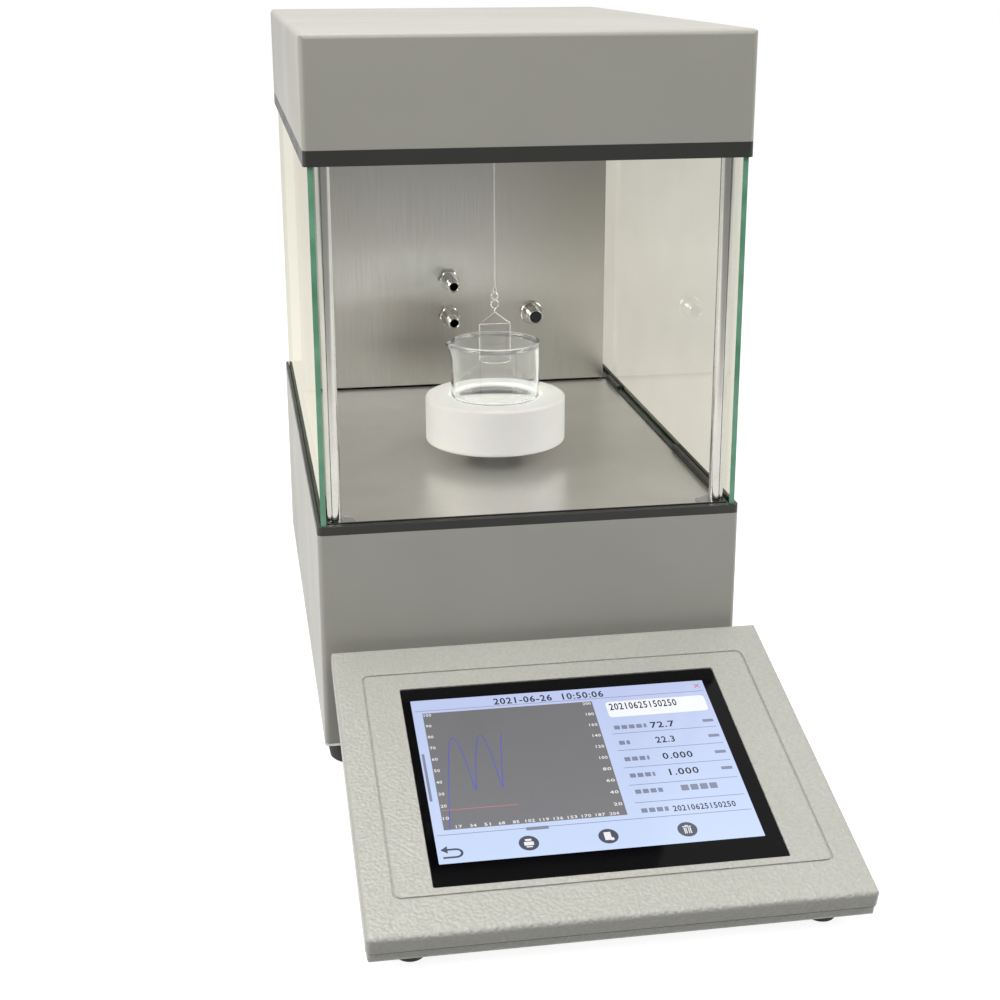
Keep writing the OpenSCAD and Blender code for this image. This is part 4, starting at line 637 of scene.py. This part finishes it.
def screwSpots(node, facing, headHeight):
    # one point per screw of the CAD node, under its head
    shape = bmesh.new()
    shape.from_mesh(nodes[node].data)
    bmesh.ops.remove_doubles(shape, verts=shape.verts, dist=1e-6)
    facing = Vector(facing)
    left, spots = set(shape.verts), []
    while left:
        island, edge = set(), [next(iter(left))]
        while edge:
            vert = edge.pop()
            if vert in island:
                continue
            island.add(vert)
            edge += [e.other_vert(vert) for e in vert.link_edges]
        left -= island
        side = facing.orthogonal().normalized()
        across = facing.cross(side)
        middle = [(min(v.co.dot(d) for v in island) + max(v.co.dot(d) for v in island)) / 2 for d in (side, across)]
        level = max(v.co.dot(facing) for v in island) - headHeight * mm
        spots.append(side * middle[0] + across * middle[1] + facing * level)
    shape.free()
    return sorted(spots, key=lambda p: (round(p.x, 5), round(p.y, 5), round(p.z, 5)))


tree, sizes = screwTree()
for node, (facing, headR, headH, shankR, shankL, body) in screwSizes.items():
    start = bpy.data.meshes.new(node)
    start.from_pydata([tuple(p) for p in screwSpots(node, facing, headH)], [], [])
    maker = bpy.data.objects.new(node + "Maker", start)
    scene.collection.objects.link(maker)
    modifier = maker.modifiers.new("screws", "NODES")
    modifier.node_group = tree
    for label, value in (("Head radius", headR * mm), ("Head height", headH * mm), ("Shank radius", shankR * mm),
                         ("Shank length", shankL * mm), ("Facing", facing), ("Finish", materials["zincPlatedSteel"])):
        modifier[sizes[label]] = value
    made = bpy.data.meshes.new_from_object(maker.evaluated_get(bpy.context.evaluated_depsgraph_get()))
    bpy.data.objects.remove(maker)
    addPiece("capScrews_" + node.split("_")[0], made, "zincPlatedSteel", body, [node], 30)
print("screws made")

# touch glass and display

display = {"width": 162, "length": 121.5, "left": -83.4, "bottom": 43.95, "sheet": -0.66, "step": 0.06,
           "glass": (-87.95, 29, 86.55, 175), "glassCorner": 1.2, "glassLow": -1.6, "glassTop": -0.4, "chamfer": 0.35,
           "openingCorner": 0.3, "openingDrop": 0.1}
display["start"] = consoleFrame @ (Vector((display["left"], display["bottom"], 0)) * mm)
display["end"] = consoleFrame @ (Vector((display["left"], display["bottom"] + display["length"], 0)) * mm)

shape = bmesh.new()
left, bottom, right, top = display["glass"]
opening = (display["left"], display["bottom"],
           display["left"] + display["width"], display["bottom"] + display["length"])
chamfer, glassTop, glassLow = display["chamfer"], display["glassTop"], display["glassLow"]
outlines = [(roundedRectangle(left + inset, bottom + inset, right - inset, top - inset,
                              display["glassCorner"] - inset * 0.9), level)
            for inset, level in ((0, glassLow), (0, glassTop - chamfer), (chamfer, glassTop))]
outlines += [(roundedRectangle(*opening, display["openingCorner"]), level)
             for level in (glassTop, display["sheet"] - display["openingDrop"], glassLow)]
joinRings(shape, [[shape.verts.new((x * mm, y * mm, level * mm)) for x, y in outline] for outline, level in outlines])
addPiece("touchGlassBorder", finishedMesh(shape, "touchGlassBorder", consoleFrame), "backPaintedGlass", "console",
         ["touch_glass"], 20)

for name, top, bottom, strength in (
        ("litPanel", "#BFCAEF", "#CDDEFC", 1.0), ("litGraph", "#7A7A7C", "#86868A", 0.9),
        ("litWhite", "#F4F7FF", "#FFFFFF", 1.0), ("litText", "#2B2B3E", "#2E2E40", 0.6),
        ("litGrey", "#8A90A8", "#8F96AE", 0.9), ("litPale", "#E9E9EC", "#F2F2F4", 1.0),
        ("litSlate", "#565A6C", "#5C6072", 0.8), ("litBlue", "#5C60CC", "#6468D4", 0.9),
        ("litPink", "#D9868E", "#D9868E", 0.9)):
    materials[name] = litMaterial(name, top, bottom, strength)


def onDisplay(x, y, w):
    return (x + display["left"]) * mm, (y + display["bottom"]) * mm, w * mm


def flat(shape, corners, level):
    shape.faces.new([shape.verts.new(onDisplay(x, y, level)) for x, y in corners])


def bar(shape, x0, y0, x1, y1, level, radius=0.0):
    corners = roundedRectangle(x0, y0, x1, y1, radius, 5) if radius else [(x0, y0), (x1, y0), (x1, y1), (x0, y1)]
    flat(shape, corners, level)


def bars(shape, boxes, level, radius=0.0, x=0, y=0):
    for x0, y0, x1, y1 in boxes:
        bar(shape, x + x0, y + y0, x + x1, y + y1, level, radius)


def ribbon(shape, points, width, level):
    for start, end in zip(points, points[1:]):
        start, end = Vector(start), Vector(end)
        along = (end - start).normalized() * width / 2
        side, overlap = Vector((-along.y, along.x)), along * 0.4
        flat(shape, [start - overlap - side, end + overlap - side, end + overlap + side, start - overlap + side], level)


glyphs = {}


def digits(shape, text, x0, y0, x1, y1, level):
    # plain numbers, fitted to a box on the display
    if text not in glyphs:
        curve = bpy.data.curves.new("digits", "FONT")
        curve.body = text
        curve.resolution_u = 2
        curve.space_character = 1.12
        curve.offset = 0.018  # a little bolder
        holder = bpy.data.objects.new("digits", curve)
        scene.collection.objects.link(holder)
        mesh = bpy.data.meshes.new_from_object(holder.evaluated_get(bpy.context.evaluated_depsgraph_get()))
        glyphs[text] = ([tuple(v.co) for v in mesh.vertices], [tuple(p.vertices) for p in mesh.polygons])
        bpy.data.objects.remove(holder)
        bpy.data.curves.remove(curve)
        bpy.data.meshes.remove(mesh)
    spots, faces = glyphs[text]
    lowX, highX = min(s[0] for s in spots), max(s[0] for s in spots)
    lowY, highY = min(s[1] for s in spots), max(s[1] for s in spots)
    made = [shape.verts.new(onDisplay(x0 + (s[0] - lowX) / (highX - lowX) * (x1 - x0),
                                      y0 + (s[1] - lowY) / (highY - lowY) * (y1 - y0), level)) for s in spots]
    for face in faces:
        shape.faces.new([made[i] for i in face])


def addToDisplay(shape, name, finish):
    for face in shape.faces:
        face.normal_update()
        if face.normal.z < 0:
            face.normal_flip()
    bmesh.ops.transform(shape, matrix=consoleFrame, verts=shape.verts)
    mesh = bpy.data.meshes.new(name)
    shape.to_mesh(mesh)
    shape.free()
    addPiece(name, mesh, finish, "console")


level0 = display["sheet"]
level1, level2 = (level0 + display["step"] * i for i in (1, 2))

shape = bmesh.new()
bar(shape, 0.05, 0.05, display["width"] - 0.05, display["length"] - 0.05, level0)
addToDisplay(shape, "displayPanel", "litPanel")

shape = bmesh.new()
bar(shape, 5.3, 22.7, 97.5, 110.6, level1)
addToDisplay(shape, "displayGraph", "litGraph")

shape = bmesh.new()
bar(shape, 104.4, 96.3, 159.3, 109, level1, 2.2)
addToDisplay(shape, "displayBox", "litWhite")

# dark marks: date, time and numbers
shape = bmesh.new()
digits(shape, "2021-06-26  10:50:06", 44.6, 113.6, 105, 118.9, level1)
digits(shape, "20210625150250", 106, 101.9, 143.2, 107.6, level2)
for text, x0, y0, x1 in (("72.7", 124.7, 85.3, 137.8), ("22.3", 124.8, 73.4, 135), ("0.000", 125.3, 60.6, 141.4),
                         ("1.000", 125.9, 48.3, 141.4)):
    digits(shape, text, x0, y0, x1, y0 + 4.9, level1)
digits(shape, "20210625150250", 121.2, 22.2, 153.6, 26.4, level1)
addToDisplay(shape, "displayMarks", "litText")

# slate-grey discs of the three icons and the arrow back
icon = {"spots": (45.2, 84.8, 124.7), "y": 9.2, "radius": 5.0}
arrow = {"x": 9.2, "y": 6.8, "bend": (2.9, 2.6), "width": 1.2, "head": ((1.8, 9.4), (5.2, 6.9), (5.2, 11.9))}
shape = bmesh.new()
for x in icon["spots"]:
    flat(shape, arc(x, icon["y"], icon["radius"], 0, 345, 23), level1)
bars(shape, ((2.6, 3.6, 9.5, 4.8), (2.6, 8.8, 9.5, 10.0)), level1)
ribbon(shape, [(arrow["x"] + arrow["bend"][0] * math.cos(a), arrow["y"] + arrow["bend"][1] * math.sin(a))
               for a in map(math.radians, range(-90, 91, 20))], arrow["width"], level1)
flat(shape, arrow["head"], level1)
addToDisplay(shape, "displayIcons", "litSlate")

# short grey bars beside the numbers, and thin lines between the rows
shape = bmesh.new()
for y in (83, 69.8, 56.5, 43.4, 30.5):
    bar(shape, 103, y - 0.2, 160, y + 0.2, level1)
bars(shape, ((1.5, 112.4, 160.5, 112.8), (1.5, 19.2, 160.5, 19.6)), level1)
for end, y in ((122.6, 88), (110.8, 75.8), (118.3, 63), (118.3, 50.5), (119.4, 38.5), (119, 24.8)):
    bars(shape, ((x, -1.7, min(x + 3.1, end), 1.4) for x in range(105, int(end), 4)), level1, 0.3, y=y)
bars(shape, ((x, 36.4, x + 4, 40.6) for x in range(129, 147, 5)), level1, 0.4)
bars(shape, ((153.5, y - 1, 159.4, y + 1.2) for y in (88, 75.8, 63, 50.5)), level1, 0.3)
bar(shape, 45.5, 17.7, 56.8, 19.9, level2, 0.4)
bar(shape, 1.0, 43.5, 2.4, 78.8, level1, 0.4)
addToDisplay(shape, "displayBars", "litGrey")

# pale numbers of the graph's scales and the icons' glyphs
scale = {"rows": 10, "rowStart": 30.8, "rowPitch": 8.68, "columns": 12, "columnStart": 13, "columnPitch": 7.1}
shape = bmesh.new()
for i in range(scale["rows"]):
    y = scale["rowStart"] + i * scale["rowPitch"]
    digits(shape, str((i + 1) * 10), 5.9, y - 1.1, 8.9 if i < 9 else 9.8, y + 1.1, level2)
    digits(shape, str((i + 1) * 20), 92.2, y - 1.1, 96.6, y + 1.1, level2)
for i in range(scale["columns"]):
    x, half = scale["columnStart"] + i * scale["columnPitch"], 1.6 if i < 5 else 2.4
    digits(shape, str(17 * (i + 1)), x - half, 23.3, x + half, 25.4, level2)
printerX, pageX, binX = icon["spots"]
bars(shape, ((-2.4, -1.6, 2.4, 0.9), (-1.6, 1.4, 1.6, 2.8), (-1.6, -2.9, 1.6, -2.1)), level2, 0.3, printerX, icon["y"])
bar(shape, pageX - 2.0, 6.6, pageX + 1.4, 12.0, level2, 0.3)
bar(shape, pageX + 0.6, 6.2, pageX + 2.6, 8.2, level2, 0.9)
bars(shape, ((-2.2, 1.6, 2.2, 2.2), (-1.8, -2.8, -1.2, 1.2), (-0.9, -2.8, -0.4, 1.2), (0.3, -2.8, 0.8, 1.2),
             (1.2, -2.8, 1.8, 1.2), (-0.8, 2.4, 0.8, 2.9)), level2, 0, binX, icon["y"])
addToDisplay(shape, "displayScales", "litPale")

# measured curve: a leaning rise, two humps and a last rise, through these points of the display
curve = {"width": 0.45, "steps": 6, "points": (
    (8.4, 23), (9.9, 37), (12.3, 57), (14.7, 75), (16.5, 86), (18.5, 89.5), (20.5, 86.5), (22.4, 76), (23.8, 62),
    (25.1, 49.3), (26.4, 58), (28.2, 71), (30.2, 82), (32.2, 88.8), (34.0, 89.4), (35.6, 84), (37.0, 72), (38.0, 60),
    (38.9, 49.5), (40.0, 58), (41.8, 72), (43.2, 83), (44.7, 90))}


def smoothed(points, steps):
    made = []
    for i in range(len(points) - 1):
        before, start, end, after = (Vector(points[min(max(i + k, 0), len(points) - 1)]) for k in (-1, 0, 1, 2))
        for step in range(steps):
            t = step / steps
            made.append(start + (end - before) * t / 2 + (before * 2 - start * 5 + end * 4 - after) * t * t / 2
                        + (start * 3 - before - end * 3 + after) * t ** 3 / 2)
    return made + [Vector(points[-1])]


shape = bmesh.new()
ribbon(shape, smoothed(curve["points"], curve["steps"]), curve["width"], level2)
addToDisplay(shape, "displayCurve", "litBlue")
shape = bmesh.new()
ribbon(shape, [(6.3, 36.4), (44.3, 36.4)], 0.4, level2)
ribbon(shape, [(156.5, 115.6), (159.2, 118.6)], 0.6, level1)
ribbon(shape, [(156.5, 118.6), (159.2, 115.6)], 0.6, level2)
addToDisplay(shape, "displayLines", "litPink")
print("display made")

# floor, world, lights

studio = {"floorSize": 12.0, "floorBounce": "#949492", "fibre": "#7E7E7C", "floorGlow": 0.9, "whiteFrom": (0.8, 2.2),
          "tableEdge": (-0.82, -1.08), "ambient": 0.14, "dusk": 0.28, "horizon": (0.02, 0.45), "rear": (-0.6, 0.5),
          "rearShare": 0.75}


def seenRays(tree):
    # first: rays that the camera follows, straight, mirrored or through glass; second: the mirrored ones alone
    path = add(tree, "ShaderNodeLightPath").outputs
    mirrored = path["Is Glossy Ray"]
    seen = calc(tree, "MAXIMUM", calc(tree, "MAXIMUM", path["Is Camera Ray"], mirrored), path["Is Transmission Ray"])
    return seen, mirrored


def floorMaterial():
    # matt white paper sweep, with less bounce than it shows, so that upright faces stay darker than the top
    material, tree = emptyMaterial("paperSweep")
    seen, mirrored = seenRays(tree)
    place = objectPlace(tree)
    fibre = spread(tree, noise(tree, place, 400), 0, 0.1)
    colour = blendColours(tree, fibre, hexColour(studio["floorBounce"]), hexColour(studio["fibre"]))
    lit = add(tree, "ShaderNodeBsdfDiffuse", {"Color": colour})
    # metal sees the paper fade into the dim room beyond the table's edge
    away = add(tree, "ShaderNodeSeparateXYZ", {0: place}).outputs["Y"]
    fade = spread(tree, away, 1, studio["dusk"], *studio["tableEdge"])
    distance = vectorCalc(tree, "LENGTH", place)["Value"]
    white = spread(tree, distance, studio["floorGlow"], 1, *studio["whiteFrom"])
    strength = spread(tree, mirrored, white, fade, 0, 1)
    glow = add(tree, "ShaderNodeEmission", {"Color": (1, 1, 1, 1), "Strength": strength})
    shown = add(tree, "ShaderNodeAddShader", {0: lit.outputs[0], 1: glow.outputs[0]})
    close(tree, add(tree, "ShaderNodeMixShader", {0: seen, 1: lit.outputs[0], 2: shown.outputs[0]}).outputs[0])
    return material


shape = bmesh.new()
bmesh.ops.create_grid(shape, x_segments=1, y_segments=1, size=studio["floorSize"] / 2)
floor = bpy.data.objects.new("paperFloor", finishedMesh(shape, "paperFloor"))
floor.data.materials.append(floorMaterial())
scene.collection.objects.link(floor)

world = bpy.data.worlds.new("studio")
scene.world = world
world.use_nodes = True
tree = world.node_tree
tree.nodes.clear()
seen, mirrored = seenRays(tree)
direction = add(tree, "ShaderNodeSeparateXYZ", {0: add(tree, "ShaderNodeTexCoord").outputs["Generated"]}).outputs
high = spread(tree, direction["Z"], 0, 1, *studio["horizon"])
behind = spread(tree, direction["Y"], 0, studio["rearShare"], *studio["rear"])
# what metal sees: dim in front near the horizon, white elsewhere
room = spread(tree, calc(tree, "MAXIMUM", high, behind), studio["dusk"], 1, 0, 1)
room = spread(tree, mirrored, 1, room, 0, 1)
strength = spread(tree, seen, studio["ambient"], room, 0, 1)
sky = add(tree, "ShaderNodeBackground", {"Color": (1, 1, 1, 1), "Strength": strength})
add(tree, "ShaderNodeOutputWorld", {"Surface": sky.outputs[0]})


softboxes = {
    # lamp: place, aim, width and height, power, tint
    "topSoftbox": ((-0.25, 0.0, 1.75), (0, 0, 0.1), (1.3, 1.3), 20.0, "#FFFDF8"),
    "leftSoftbox": ((-1.45, -0.35, 1.05), (0, 0, 0.2), (1.0, 1.0), 20.0, "#FFFCF5"),
    "rightSoftbox": ((1.45, -0.3, 1.15), (0, 0, 0.2), (1.0, 1.0), 18.0, "#FFFDF8"),
    "frontSoftbox": ((0.2, -1.5, 1.5), (0, 0, 0.2), (1.2, 0.9), 10.0, "#FFFFFF"),
}
for name, (spot, aim, size, power, tint) in softboxes.items():
    lamp = bpy.data.lights.new(name, "AREA")
    lamp.shape = "RECTANGLE"
    lamp.size, lamp.size_y = size
    lamp.energy = power
    lamp.color = hexColour(tint)[:3]
    holder = bpy.data.objects.new(name, lamp)
    holder.location = spot
    holder.rotation_euler = (Vector(aim) - Vector(spot)).to_track_quat("-Z", "Y").to_euler()
    scene.collection.objects.link(holder)
print("studio made")

# camera

# place and axes fitted to the photograph
viewpoint = {"sensor": 36, "lens": 59.8, "place": (-0.165376, -0.966119, 0.444748),
             "right": (0.98655729, -0.16338428, -0.00320905), "up": (0.05393507, 0.30701168, 0.95017621),
             "back": (-0.15425864, -0.93757635, 0.31169675)}
camera = bpy.data.cameras.new("photoCamera")
camera.sensor_width = viewpoint["sensor"]
camera.lens = viewpoint["lens"]
photoCamera = bpy.data.objects.new("photoCamera", camera)
turned = Matrix([viewpoint[axis] for axis in ("right", "up", "back")]).transposed().to_4x4()
photoCamera.matrix_world = Matrix.Translation(viewpoint["place"]) @ turned
scene.collection.objects.link(photoCamera)
scene.camera = photoCamera
scene.view_settings.view_transform = "Standard"
